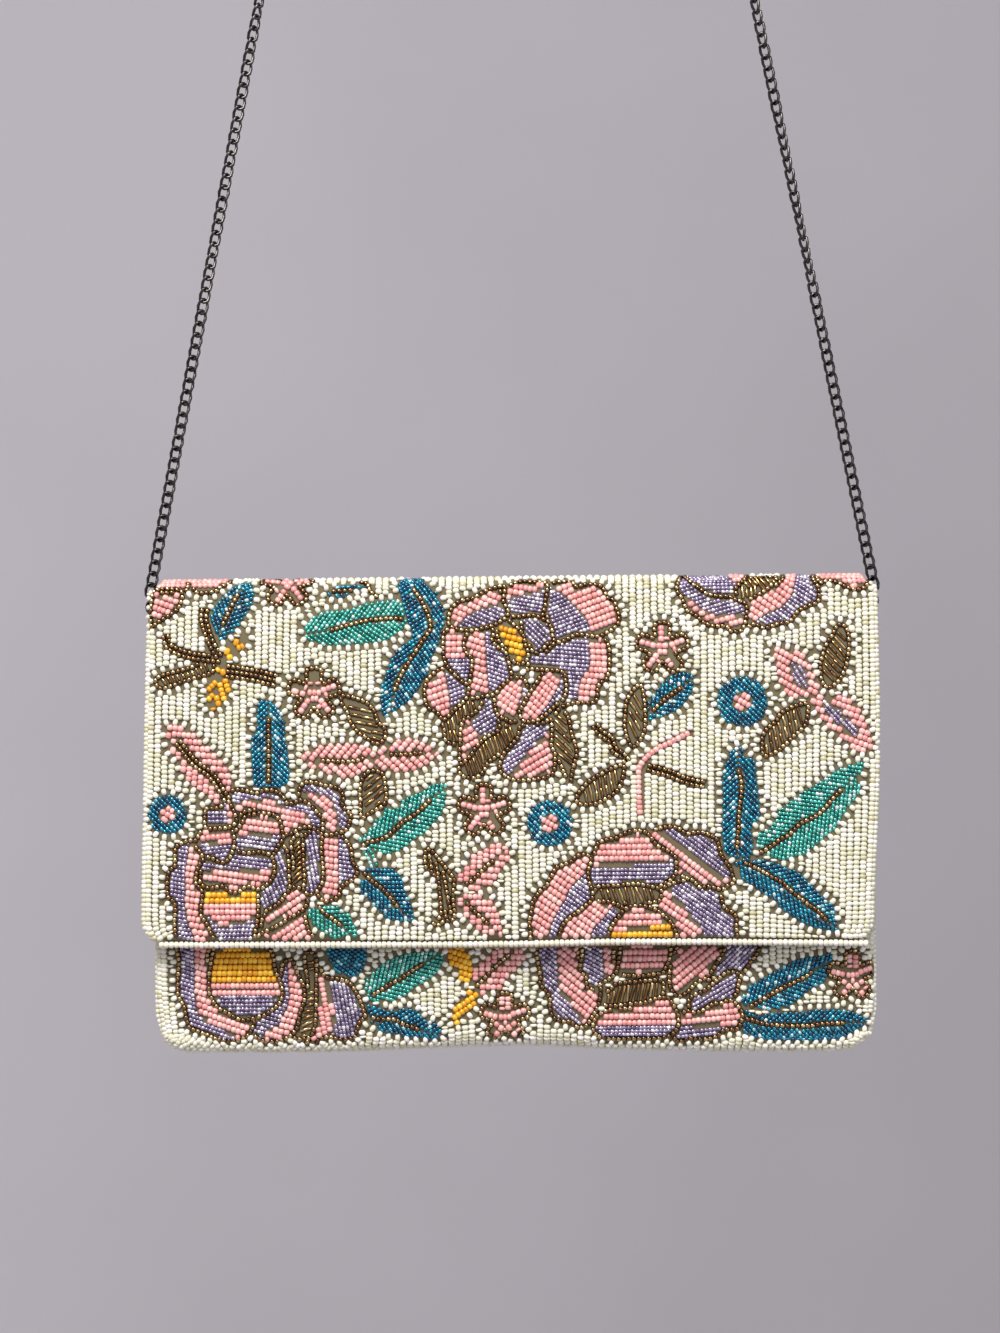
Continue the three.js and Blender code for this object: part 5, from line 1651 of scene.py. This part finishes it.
    def _draw_blossom(self, blossom: Blossom) -> None:
        """Paints five petals round a middle and strings one bronze line round them all."""
        middle = np.array([blossom.middle[0], float(unrolled(np.array(blossom.middle[1])))])
        angles, shares = zip(*PETAL_EDGE)
        reach = np.tile(shares, 5) * blossom.radius
        turned = np.radians(blossom.turn + np.array([72 * i + angle for i in range(5) for angle in angles]))
        outline = smooth(middle + reach[:, None] * np.column_stack([np.cos(turned), np.sin(turned)]), True)
        self.paint(outline, Beads.PINK, 0)
        circle = np.radians(np.arange(0, 360, 30))
        for angle in blossom.turn + 72 * np.arange(5):
            way = np.array([math.cos(math.radians(angle)), math.sin(math.radians(angle))])
            round_petal = 0.34 * blossom.radius * np.column_stack([np.cos(circle), np.sin(circle)])
            self.paint(smooth(middle + 0.6 * blossom.radius * way + round_petal, True), Beads.PINK, angle)
        self.strings.append((outline, True, Beads.BRONZE))
        self.outlines.append((outline, 0.0))

    def _draw_ring(self, ring: Ring) -> None:
        """Paints a round flower and its middle."""
        middle = np.array([ring.middle[0], float(unrolled(np.array(ring.middle[1])))])
        turned = np.radians(np.arange(0, 360, 30))
        circle = np.column_stack([np.cos(turned), np.sin(turned)])
        outer = smooth(middle + ring.radius * circle, True)
        self.paint(outer, FOREST, 45)
        self.paint(smooth(middle + ring.eye * circle, True), Beads.PINK, 30)
        self.outlines.append((outer, -0.9))

    def string(self, curve: np.ndarray, closed: bool, beads: Beads, contour: bool = False) -> None:
        """Strings beads along a curve, past those that are already there.

        Args:
            curve: Points on the curve.
            closed: Whether it comes back to its start.
            beads: The kind of bead.
            contour: Whether the string only goes where the ground shows.
        """
        pitch = self.string_pitch if beads is Beads.BRONZE else FORMS[beads].pitch
        middle, angle, step = spaced(curve, pitch, closed)
        near = np.vstack(self.strung) if self.strung else np.zeros((0, 2))
        keep = []
        for i, place in enumerate(middle):
            rows, columns, inside = self.index(place + 0.62 * COMPASS)
            if contour and (
                not inside.all() or self.fields[rows, columns].any() or self.taken[rows, columns].any()
            ):
                continue
            others = np.vstack([near, middle[keep]]) if keep else near
            gap = self.closest * (1.25 if contour else 1.0)
            if len(others) and np.min(np.sum((others - place) ** 2, axis=1)) < gap**2:
                continue
            keep.append(i)
        if not keep:
            return
        kept = middle[keep]
        self.strung.append(kept)
        pale = np.full(len(keep), 1.0 if contour else 0.0)
        self.strands.append(Strand(beads, kept, angle[keep], np.full(len(keep), min(step, pitch)), pale))
        room = self.string_room if beads is Beads.BRONZE else FORMS[beads].width / 2
        self._take(kept, room)

    def _take(self, places: np.ndarray, room: float) -> None:
        """Marks the cells round some beads as taken."""
        reach = np.arange(-room, room + self.cell, self.cell)
        disc = np.array([(x, y) for x in reach for y in reach if x * x + y * y <= room * room])
        rows, columns, inside = self.index(places[:, None, :] + disc[None])
        self.taken[rows[inside], columns[inside]] = True

    def fill(self) -> None:
        """Fills every field with rows of its beads."""
        for number, (beads, angle, pitch, rows) in enumerate(self.specs, 1):
            cells = np.nonzero((self.fields == number) & ~self.taken)
            if len(cells[0]) < 8:
                continue
            places = np.column_stack([self.low[0] + self.cell * cells[1], self.low[1] + self.cell * cells[0]])
            way = np.array([math.cos(math.radians(angle)), math.sin(math.radians(angle))])
            across = np.array([-way[1], way[0]])
            low, high = (places @ across).min() - self.cell / 2, (places @ across).max() + self.cell / 2
            count = max(round((high - low) / rows), 1)
            start, end = (places @ way).min() - 1, (places @ way).max() + 1
            steps = np.arange(start, end, STEP)
            found = []
            for k in range(count):
                offset = low + (k + 0.5) * (high - low) / count
                line = steps[:, None] * way + offset * across
                free = self._free(line, number)
                for side in (-0.25, 0.25):
                    free &= self._free(line + side * rows * across, number) | (count == 1)
                found += [(steps[a], steps[b], offset) for a, b in runs(free)]
            self._string_runs(beads, angle, pitch, found, way, across)

    def _free(self, places: np.ndarray, number: int) -> np.ndarray:
        """Says which places lie in a field and under no strung bead."""
        row, column, inside = self.index(places)
        return inside & (self.fields[row, column] == number) & ~self.taken[row, column]

    def _string_runs(
        self, beads: Beads, angle: float, pitch: float, found: list, way: np.ndarray, across: np.ndarray
    ) -> None:
        """Sets beads evenly in each stretch of a row.

        Args:
            beads: The kind of bead.
            angle: Degrees that the row is turned from level.
            pitch: About how far apart the beads lie.
            found: The stretches, each with its start, its end and its place across.
            way: The unit direction of the row.
            across: The unit direction from row to row.
        """
        middle, length = [], []
        for start, end, offset in found:
            span = end - start + STEP
            if span < 0.5 * pitch:
                continue
            count = max(round(span / pitch), 1)
            for i in range(count):
                middle.append((start - STEP / 2 + (i + 0.5) * span / count) * way + offset * across)
                length.append(span / count)
        if middle:
            size = len(middle)
            self.strands.append(
                Strand(
                    beads,
                    np.array(middle),
                    np.full(size, math.radians(angle)),
                    np.array(length),
                    np.zeros(size),
                )
            )

    def ground(self, skin: Skin, begin: float, end: float, columns: int) -> None:
        """Strings the cream ground in columns, from top to bottom, wherever no motif lies.

        Args:
            skin: The face that the columns follow.
            begin: Where the columns start along the cloth.
            end: Where they end.
            columns: How many there are.
        """
        along = np.arange(begin, end, STEP)
        reach = skin.width(along)
        plain = (along > begin + 20) & (along < end - 20)
        lines = [np.polyval(np.polyfit(along[plain], side[plain], 1), along) for side in reach]
        near = self._near_motif()
        for position in range(columns):
            share = (position + 0.5) / columns * 2 - 1
            side = int(share > 0)
            order = round(abs(share) * columns / 2)
            across, free = self._column(share, order, lines[side], reach[side])
            free &= along < skin.finish_line(across)
            free &= self._bare(np.column_stack([across, along]))
            self._string_column(along, across, free, near)

    def _column(
        self, share: float, order: int, line: np.ndarray, reach: np.ndarray
    ) -> tuple[np.ndarray, np.ndarray]:
        """Runs one column of the ground down the face.

        Args:
            share: Its place between the middle and the side edge, from -1 to 1.
            order: How many columns lie between it and the middle.
            line: The straight line of the side edge.
            reach: The side edge itself, which leaves that line at corners and at the fold.

        Returns:
            The column's places across, and where there is room for its beads.
        """
        inner = line - self.draw_in
        closeness = (reach - inner) / self.draw_in
        straight = abs(share) * line
        outer = straight > inner
        drawn = inner + (straight - inner) * closeness
        kept = (closeness > 0.7) | ((closeness > 0.4) & (order % 2 == 0)) | (order % 3 == 0)
        return math.copysign(1.0, share) * np.where(outer, drawn, straight), ~outer | kept

    def _bare(self, places: np.ndarray) -> np.ndarray:
        """Says which places of a column have no motif under them or close beside them."""
        bare = np.ones(len(places), bool)
        for aside in (-0.5, 0.0, 0.5):
            row, column, inside = self.index(places + np.array([aside, 0.0]))
            bare &= ~inside | ((self.fields[row, column] == 0) & ~self.taken[row, column])
        return bare

    def _string_column(
        self, along: np.ndarray, across: np.ndarray, free: np.ndarray, near: np.ndarray
    ) -> None:
        """Sets beads evenly in each free stretch of a column, paler beside a motif."""
        pitch = FORMS[Beads.CREAM].pitch
        middle, length = [], []
        for a, b in runs(free):
            span = (b - a + 1) * STEP
            if span < 0.5 * pitch:
                continue
            count = max(round(span / pitch), 1)
            at = along[a] - STEP / 2 + (np.arange(count) + 0.5) * span / count
            middle += [(float(np.interp(t, along, across)), t) for t in at]
            length += [span / count] * count
        if middle:
            middle = np.array(middle)
            row, column, inside = self.index(middle)
            pale = np.where(inside & near[row, column], 0.6, 0.0)
            upright = np.full(len(middle), math.pi / 2)
            self.strands.append(Strand(Beads.CREAM, middle, upright, np.array(length), pale))

    def _near_motif(self) -> np.ndarray:
        """Marks the cells within a bead of a motif."""
        near = (self.fields > 0) | self.taken
        for _ in range(9):
            grown = near.copy()
            grown[1:] |= near[:-1]
            grown[:-1] |= near[1:]
            grown[:, 1:] |= near[:, :-1]
            grown[:, :-1] |= near[:, 1:]
            near = grown
        return near

    def work(self, motifs: Sequence[Motif]) -> None:
        """Draws all the motifs, strings their edges, fills them and sets a cream string round them."""
        for motif in motifs:
            self.draw(motif)
        for curve, closed, beads in self.strings:
            self.string(curve, closed, beads)
        self.fill()
        for outline, inset in self.outlines:
            way = np.gradient(np.vstack([outline[-1:], outline, outline[:1]]), axis=0)[1:-1]
            turned = np.column_stack([way[:, 1], -way[:, 0]]) / np.linalg.norm(way, axis=1, keepdims=True)
            after = np.roll(outline, -1, axis=0)
            area = np.sum(outline[:, 0] * after[:, 1] - after[:, 0] * outline[:, 1])
            curve = outline + turned * np.sign(area) * (self.contour_out + inset)
            self.string(curve, True, Beads.CREAM, contour=True)


COMPASS = np.array([(0.0, 0.0), (1.0, 0.0), (-1.0, 0.0), (0.0, 1.0), (0.0, -1.0)])


def runs(flags: np.ndarray) -> list[tuple[int, int]]:
    """Finds the unbroken stretches of true flags, as first and last index."""
    edges = np.diff(np.concatenate([[0], flags.astype(np.int8), [0]]))
    return list(zip(np.nonzero(edges == 1)[0], np.nonzero(edges == -1)[0] - 1))


@dataclass
class BeadedFace:
    """All the beads on one face of the bag."""

    name: str
    skin: Skin
    strands: list[Strand]
    materials: dict[Beads, bpy.types.Material]
    random: np.random.Generator
    sink: float = 1.15  # from the tops of the cream beads to the cloth
    light: bool = False  # whether the beads are the lighter model for the back
    most: int = 190_000  # triangles in one piece

    def build(self) -> list[Piece]:
        """Builds a piece for each kind of bead and returns them."""
        made = []
        for beads in Beads:
            strands = [strand for strand in self.strands if strand.beads is beads]
            if not strands:
                continue
            form = BACK_FORM if self.light else FORMS[beads]
            pattern = form.model()
            places = self._places(strands, form)
            parts = math.ceil(len(places.tint) * pattern.triangles / self.most)
            order = np.array_split(np.argsort(places.middle[:, 0], kind="stable"), parts)
            for i, chosen in enumerate(order):
                suffix = f"_{i + 1}" if parts > 1 else ""
                piece = strew(f"{self.name}_{beads.value}{suffix}", pattern, places.part(chosen))
                made.append(dress(piece, self.materials[beads], beads.value))
                report(piece)
        return made

    def _places(self, strands: list[Strand], form: BeadForm) -> Places:
        """Turns places in the chart into places on the bag, each bead a little off true."""
        middle = np.vstack([strand.middle for strand in strands])
        angle = np.concatenate([strand.angle for strand in strands])
        length = np.concatenate([strand.length for strand in strands])
        pale = np.concatenate([strand.pale for strand in strands])
        left, right = self.skin.width(middle[:, 1])
        fits = (middle[:, 0] > -left) & (middle[:, 0] < right)
        fits &= middle[:, 1] < self.skin.finish_line(middle[:, 0]) - 0.3
        middle, angle, length, pale = (values[fits] for values in (middle, angle, length, pale))
        size = len(middle)
        middle = middle + self.random.normal(0, 0.04, (size, 2))
        angle = angle + self.random.normal(0, math.radians(3.5), size)
        place, axes = self.skin.frames(middle[:, 0], middle[:, 1])
        across, along, out = axes[:, 0], axes[:, 1], axes[:, 2]
        thread = np.cos(angle)[:, None] * across + np.sin(angle)[:, None] * along
        lean = self.random.normal(0, math.radians(5), (size, 2))
        out = out + lean[:, :1] * across + lean[:, 1:] * along
        out /= np.linalg.norm(out, axis=1, keepdims=True)
        thread -= out * np.sum(thread * out, axis=1, keepdims=True)
        thread /= np.linalg.norm(thread, axis=1, keepdims=True)
        side = np.cross(out, thread)
        scale = np.column_stack(
            [length / form.pitch, self.random.normal(1, 0.03, size), self.random.normal(1, 0.05, size)]
        )
        tint = np.clip(self.random.random(size) * (1 - 0.45 * pale) + 0.45 * pale, 0, 1)
        return Places(place - self.sink * axes[:, 2], np.stack([thread, side, out], axis=1), scale, tint)


@dataclass
class PanelCloth:
    """The cloth that the beads are sewn to: a thin shell a bead's height inside the face."""

    name: str
    node: str
    faces: list[Skin]
    depth: float = 1.1
    thickness: float = 0.9

    def build(self, material: bpy.types.Material) -> Piece:
        """Lays the shell through the samples of its faces, from the bottom of the back to the flap's edge."""
        rows = []
        for skin in self.faces:
            layer = skin.grid - self.depth * skin.normals
            rows.append(layer[::-1] if skin.out > 0 else layer)
        sheet = np.vstack([rows[0], rows[1][1:]]) if len(rows) > 1 else rows[0]
        high, wide = sheet.shape[:2]
        first = [r * wide + c for r in range(high - 1) for c in range(wide - 1)]
        faces = [(i, i + wide, i + wide + 1, i + 1) for i in first]
        mesh = bpy.data.meshes.new(self.name)
        mesh.from_pydata((sheet.reshape(-1, 3) * MM).tolist(), [], faces)
        mesh.polygons.foreach_set("use_smooth", np.ones(len(faces), bool))
        piece = bpy.data.objects.new(self.name, mesh)
        bpy.context.scene.collection.objects.link(piece)
        Bench.modify(piece, "SOLIDIFY", thickness=self.thickness * MM, offset=-1.0)
        return dress(piece, material, "base_cloth", self.node)


def centre_line(name: str, key: Callable[[np.ndarray], np.ndarray], gap: float) -> np.ndarray:
    """Finds the middle line of a CAD tube, from the rings of points that it is made of.

    Args:
        name: The tube's node.
        key: Gives each point its place in the order along the tube.
        gap: The least step of that order from one ring to the next.

    Returns:
        The rings' middles in order.
    """
    points = np.unique(np.round(Solid(name).points, 3), axis=0)
    order = key(points)
    points, order = points[np.argsort(order)], np.sort(order)
    rings = np.split(points, np.nonzero(np.diff(order) > gap)[0] + 1)
    return np.array([ring.mean(axis=0) for ring in rings])


@dataclass
class StrungRow:
    """A row of whole beads on a thread, in place of a CAD tube."""

    name: str
    node: str
    line: np.ndarray
    form: BeadForm
    random: np.random.Generator
    pale: float = 0.45
    crosswise: bool = False  # whether the holes lie across the row

    def build(self, material: bpy.types.Material) -> Piece:
        """Sets the beads along the line."""
        length = np.concatenate([[0], np.cumsum(np.linalg.norm(np.diff(self.line, axis=0), axis=1))])
        count = round(length[-1] / self.form.pitch)
        step = length[-1] / count
        at = (np.arange(count) + 0.5) * step
        middle = np.column_stack([np.interp(at, length, self.line[:, axis]) for axis in range(3)])
        ahead = np.column_stack([np.interp(at + 0.5, length, self.line[:, axis]) for axis in range(3)])
        way = ahead - middle
        way += self.random.normal(0, 0.04, way.shape)
        way /= np.linalg.norm(way, axis=1, keepdims=True)
        out = np.tile([0.0, -1.0, 0.0], (count, 1))
        out -= way * np.sum(way * out, axis=1, keepdims=True)
        out /= np.linalg.norm(out, axis=1, keepdims=True)
        side = np.cross(out, way)
        spread = self.random.normal(1, 0.03, (2, count))
        scale = np.column_stack([np.full(count, step / self.form.pitch), *spread])
        tint = np.clip(self.pale + self.random.random(count) * (1 - self.pale), 0, 1)
        places = Places(middle, np.stack([way, side, out], axis=1), scale, tint)
        piece = strew(self.name, self.form.model(), places)
        return dress(piece, material, Beads.CREAM.value, self.node)


@dataclass
class FlapLining:
    """The tan satin under the flap, whose edge peeks out below the rim of beads."""

    name: str = "lining_cloth"
    node: str = "flap_lining"
    ripple: float = 0.1

    def build(self, material: bpy.types.Material) -> Piece:
        """Copies the CAD lining, joins its triangles into quads, cuts them once, shades it smooth and lets it
        ripple a little.
        """
        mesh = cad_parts[self.node].data.copy()
        piece = bpy.data.objects.new(self.name, mesh)
        bpy.context.scene.collection.objects.link(piece)
        Bench.clear()
        Bench.pick(piece, lambda point: True)
        bpy.ops.mesh.remove_doubles(threshold=1e-6)
        bpy.ops.mesh.tris_convert_to_quads()
        bpy.ops.mesh.subdivide(number_cuts=1)
        Bench.done()
        for vertex in piece.data.vertices:
            wave = math.sin(vertex.co.x * 260 + 3 * math.sin(vertex.co.z * 70))
            vertex.co.y += self.ripple * MM * wave
        piece.data.polygons.foreach_set("use_smooth", np.ones(len(piece.data.polygons), bool))
        return dress(piece, material, "gold_lining", self.node)


@dataclass
class ChainStrap:
    """The fine curb chain: one loop of twisted oval links."""

    random: np.random.Generator
    name: str = "chain_links"
    node: str = "chain_strap"
    width: float = 4.3
    wire: float = 1.1
    pitch: float = 3.95
    loop_radius: float = 12.0
    tube: float = 4.4  # of the CAD chain
    twist: float = 75.0  # degrees from one end of a link to the other
    wire_sides: int = 6
    bends: int = 12

    def link(self) -> Pattern:
        """Models one link along X: an oval ring, twisted so that its neighbours pass through."""
        Bench.clear()
        outer = self.width - self.wire
        bpy.ops.mesh.primitive_torus_add(
            major_segments=self.bends,
            minor_segments=self.wire_sides,
            major_radius=outer / 2,
            minor_radius=self.wire / 2,
        )
        ring = Bench.take("link")
        longer = (self.pitch + self.wire - outer) / 2
        for sign in (-1, 1):
            Bench.pick(ring, lambda point: sign * point.x > 0.01)
            bpy.ops.transform.translate(value=(sign * longer, 0, 0))
            Bench.done()
        Bench.modify(
            ring, "SIMPLE_DEFORM", deform_method="TWIST", deform_axis="X", angle=math.radians(self.twist)
        )
        return Pattern.of(ring)

    def route(self) -> np.ndarray:
        """The chain's middle line: up one leg, over the arc and down the other."""
        solid = Solid(self.node)
        foot = solid.points[(solid.points[:, 2] < solid.low[2] + 1.5) & (solid.points[:, 0] > 0)].mean(axis=0)
        radius = self.loop_radius + self.tube / 2
        centre = np.array([0.0, 0.0, -self.loop_radius])
        away = foot - centre
        lean = math.acos(radius / np.linalg.norm(away))
        leaves = math.atan2(away[2], away[0]) + lean
        angles = np.linspace(leaves, math.pi - leaves, 25)
        arc = [centre + radius * np.array([math.cos(a), 0, math.sin(a)]) for a in angles]
        mirrored = foot * np.array([-1, 1, 1])
        return np.vstack([foot[None], arc, mirrored[None]])

    def build(self, material: bpy.types.Material) -> Piece:
        """Sets the links along the route, each rolled about the route by a slowly wandering angle with a
        little jitter.
        """
        route = self.route()
        length = np.concatenate([[0], np.cumsum(np.linalg.norm(np.diff(route, axis=0), axis=1))])
        count = round(length[-1] / self.pitch)
        at = (np.arange(count) + 0.5) * length[-1] / count
        middle = np.column_stack([np.interp(at, length, route[:, axis]) for axis in range(3)])
        ahead = np.column_stack([np.interp(at + 2, length, route[:, axis]) for axis in range(3)])
        behind = np.column_stack([np.interp(at - 2, length, route[:, axis]) for axis in range(3)])
        way = ahead - behind
        way /= np.linalg.norm(way, axis=1, keepdims=True)
        slow = np.cumsum(self.random.normal(0, math.radians(5), count))
        slow -= np.linspace(0, slow[-1], count)
        roll = slow + self.random.normal(0, math.radians(5), count)
        front = np.tile([0.0, -1.0, 0.0], (count, 1))
        side = np.cross(front, way)
        turned = np.cos(roll)[:, None] * side + np.sin(roll)[:, None] * front
        out = np.cross(way, turned)
        scale = np.ones((count, 3))
        places = Places(middle, np.stack([way, turned, out], axis=1), scale, self.random.random(count))
        piece = strew(self.name, self.link(), places)
        return dress(piece, material, "gunmetal", self.node)


@dataclass
class Studio:
    """A pale round backdrop with a floor, soft lights and the camera at the photo's place."""

    radius: float = 5.5
    floor: float = -2.4
    height: float = 9.0
    camera_at: tuple[float, float, float] = (-0.00436, -1.35, -0.5999)
    lens: float = 106.8
    roll: float = 0.55  # degrees

    def backdrop(self) -> Piece:
        """Models a round room, open at the top, whose floor curves up into its wall."""
        Bench.clear()
        bpy.ops.mesh.primitive_circle_add(
            vertices=96, radius=self.radius, fill_type="NGON", location=(0, 0, self.floor)
        )
        bpy.ops.object.transform_apply(location=True, rotation=True, scale=True)
        room = Bench.take("studio_room")
        Bench.pick(room, lambda point: True)
        bpy.ops.mesh.extrude_region_move(TRANSFORM_OT_translate={"value": (0, 0, self.height)})
        bpy.ops.mesh.delete(type="ONLY_FACE")
        Bench.done()
        Bench.pick(room, lambda point: point.z < self.floor + 0.01)
        bpy.ops.mesh.select_mode(type="EDGE")
        bpy.ops.mesh.bevel(offset=1.6, segments=10, affect="EDGES")
        bpy.ops.mesh.select_all(action="SELECT")
        bpy.ops.mesh.normals_make_consistent(inside=True)
        Bench.done()
        for polygon in room.data.polygons:
            polygon.use_smooth = True
        room.data.materials.append(BACKDROP.material())
        return room

    @staticmethod
    def light(name: str, at: tuple[float, float, float], size: float, power: float, tone: Colour) -> None:
        """Hangs a soft square light that faces the bag.

        Args:
            name: The light's name.
            at: Its place in metres.
            size: Its width in metres.
            power: Its power in watts.
            tone: Its colour.
        """
        data = bpy.data.lights.new(name, "AREA")
        data.size = size
        data.energy = power
        data.color = tone[:3]
        lamp = bpy.data.objects.new(name, data)
        lamp.location = at
        lamp.rotation_euler = (Vector((0, 0, -0.6)) - Vector(at)).to_track_quat("-Z", "Y").to_euler()
        bpy.context.scene.collection.objects.link(lamp)

    def lights(self) -> None:
        """Hangs the lights and sets the air's own light."""
        self.light("key_light", (-0.5, -1.5, 1.3), 0.9, 80.0, shade(255, 250, 244))
        self.light("fill_light", (1.6, -1.7, -0.2), 1.4, 13.0, shade(244, 246, 255))
        world = bpy.data.worlds.new("studio_air")
        world.use_nodes = True
        air = world.node_tree.nodes["Background"]
        air.inputs["Color"].default_value = shade(222, 220, 228)
        air.inputs["Strength"].default_value = 0.68
        bpy.context.scene.world = world

    def camera(self) -> None:
        """Sets the camera level, facing the bag, with the photo's slight roll."""
        data = bpy.data.cameras.new("photo_view")
        data.lens = self.lens
        data.sensor_width = 36.0
        data.clip_end = 60.0
        eye = bpy.data.objects.new("photo_view", data)
        eye.location = self.camera_at
        eye.rotation_euler = (math.pi / 2, math.radians(self.roll), 0)
        bpy.context.scene.collection.objects.link(eye)
        bpy.context.scene.camera = eye

    def build(self) -> None:
        """Builds the room, its lights and the camera."""
        self.backdrop()
        self.lights()
        self.camera()
        bpy.context.scene.view_settings.view_transform = "Standard"


@dataclass
class Clutch:
    """The whole bag."""

    seed: int = 7
    columns: int = 105
    back_columns: int = 106
    pouch_top: float = 113.0  # below this the front panel is beaded, and above it the flap hides it

    def build(self) -> None:
        """Builds every piece of the bag in order."""
        random = np.random.default_rng(self.seed)
        finishes = {beads: finish.material() for beads, finish in FINISHES.items()}
        cloth = BASE_CLOTH.material()
        flap = Skin("back_and_flap", -1.0, -QUARTER_FOLD, 2.2, False)
        back = Skin("back_and_flap", 1.0, QUARTER_FOLD, 3.2, True, 5.0)
        front = Skin("pouch_front", -1.0, QUARTER_FOLD + 15.2 - FOLD_RADIUS, 3.2, True, 5.0)
        log.info("faces read")
        self.flap_beads(flap, finishes, random)
        self.pouch_beads(front, finishes, random)
        self.back_beads(back, finishes, random)
        panel = PanelCloth("panel_cloth", "back_and_flap", [back, flap]).build(cloth)
        report(panel)
        pouch = PanelCloth("pouch_cloth", "pouch_front", [front]).build(cloth)
        report(pouch)
        lining = FlapLining().build(GOLD_LINING.material())
        report(lining)
        self.strung_rows(finishes[Beads.CREAM], random)
        steel = GUNMETAL.material()
        chain = ChainStrap(random).build(steel)
        report(chain)
        for name in ("side_eye_left", "side_eye_right", "magnetic_snap"):
            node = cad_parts[name]
            node.data.materials.clear()
            node.data.materials.append(steel)
            log.info("%s: CAD piece in gunmetal", name)

    def flap_beads(self, skin: Skin, finishes: dict, random: np.random.Generator) -> None:
        """Charts and beads the flap and the fold."""
        end = float(skin.ends.max())
        chart = Chart((-130.0, -8.0), (130.0, end + 2))
        peonies = [*left_peony(), *right_peony(), *middle_peony()]
        chart.work([*fold_motifs(), *left_motifs(), *upper_right_motifs(), *peonies])
        chart.ground(skin, -QUARTER_FOLD, end, self.columns)
        BeadedFace("flap", skin, chart.strands, finishes, random).build()

    def pouch_beads(self, skin: Skin, finishes: dict, random: np.random.Generator) -> None:
        """Charts and beads the part of the front panel that the flap leaves free."""
        end = float(skin.knots[-1].max())
        chart = Chart((-130.0, self.pouch_top), (130.0, end))
        chart.work([*pouch_left_motifs(), *pouch_right_motifs()])
        chart.ground(skin, self.pouch_top, end, self.back_columns)
        BeadedFace("pouch", skin, chart.strands, finishes, random).build()

    def back_beads(self, skin: Skin, finishes: dict, random: np.random.Generator) -> None:
        """Beads the plain back."""
        end = float(skin.knots[-1].max())
        chart = Chart((-130.0, 0.0), (130.0, end))
        chart.ground(skin, QUARTER_FOLD, end, self.back_columns)
        BeadedFace("back", skin, chart.strands, finishes, random, light=True).build()

    @staticmethod
    def strung_rows(material: bpy.types.Material, random: np.random.Generator) -> None:
        """Strings the rim of the flap and the seam."""
        rim = centre_line("flap_rim", lambda points: points[:, 0], 1.0)
        rim_form = BeadForm(1.68, 2.3, 1.72, 2.3, whole=True)
        report(StrungRow("rim_beads", "flap_rim", rim, rim_form, random).build(material))
        hub = fold_top()
        seam = centre_line(
            "seam_beads", lambda points: np.degrees(np.arctan2(points[:, 2] - hub, points[:, 0])), 1.0
        )
        seam_form = BeadForm(1.6, 2.2, 1.66, 2.2, whole=True)
        report(StrungRow("seam_row", "seam_beads", seam, seam_form, random, 0.1).build(material))


def main() -> None:
    logging.basicConfig(level=logging.INFO, format="%(name)s: %(message)s")
    Clutch().build()
    Studio().build()


if __name__ == "__main__":
    main()
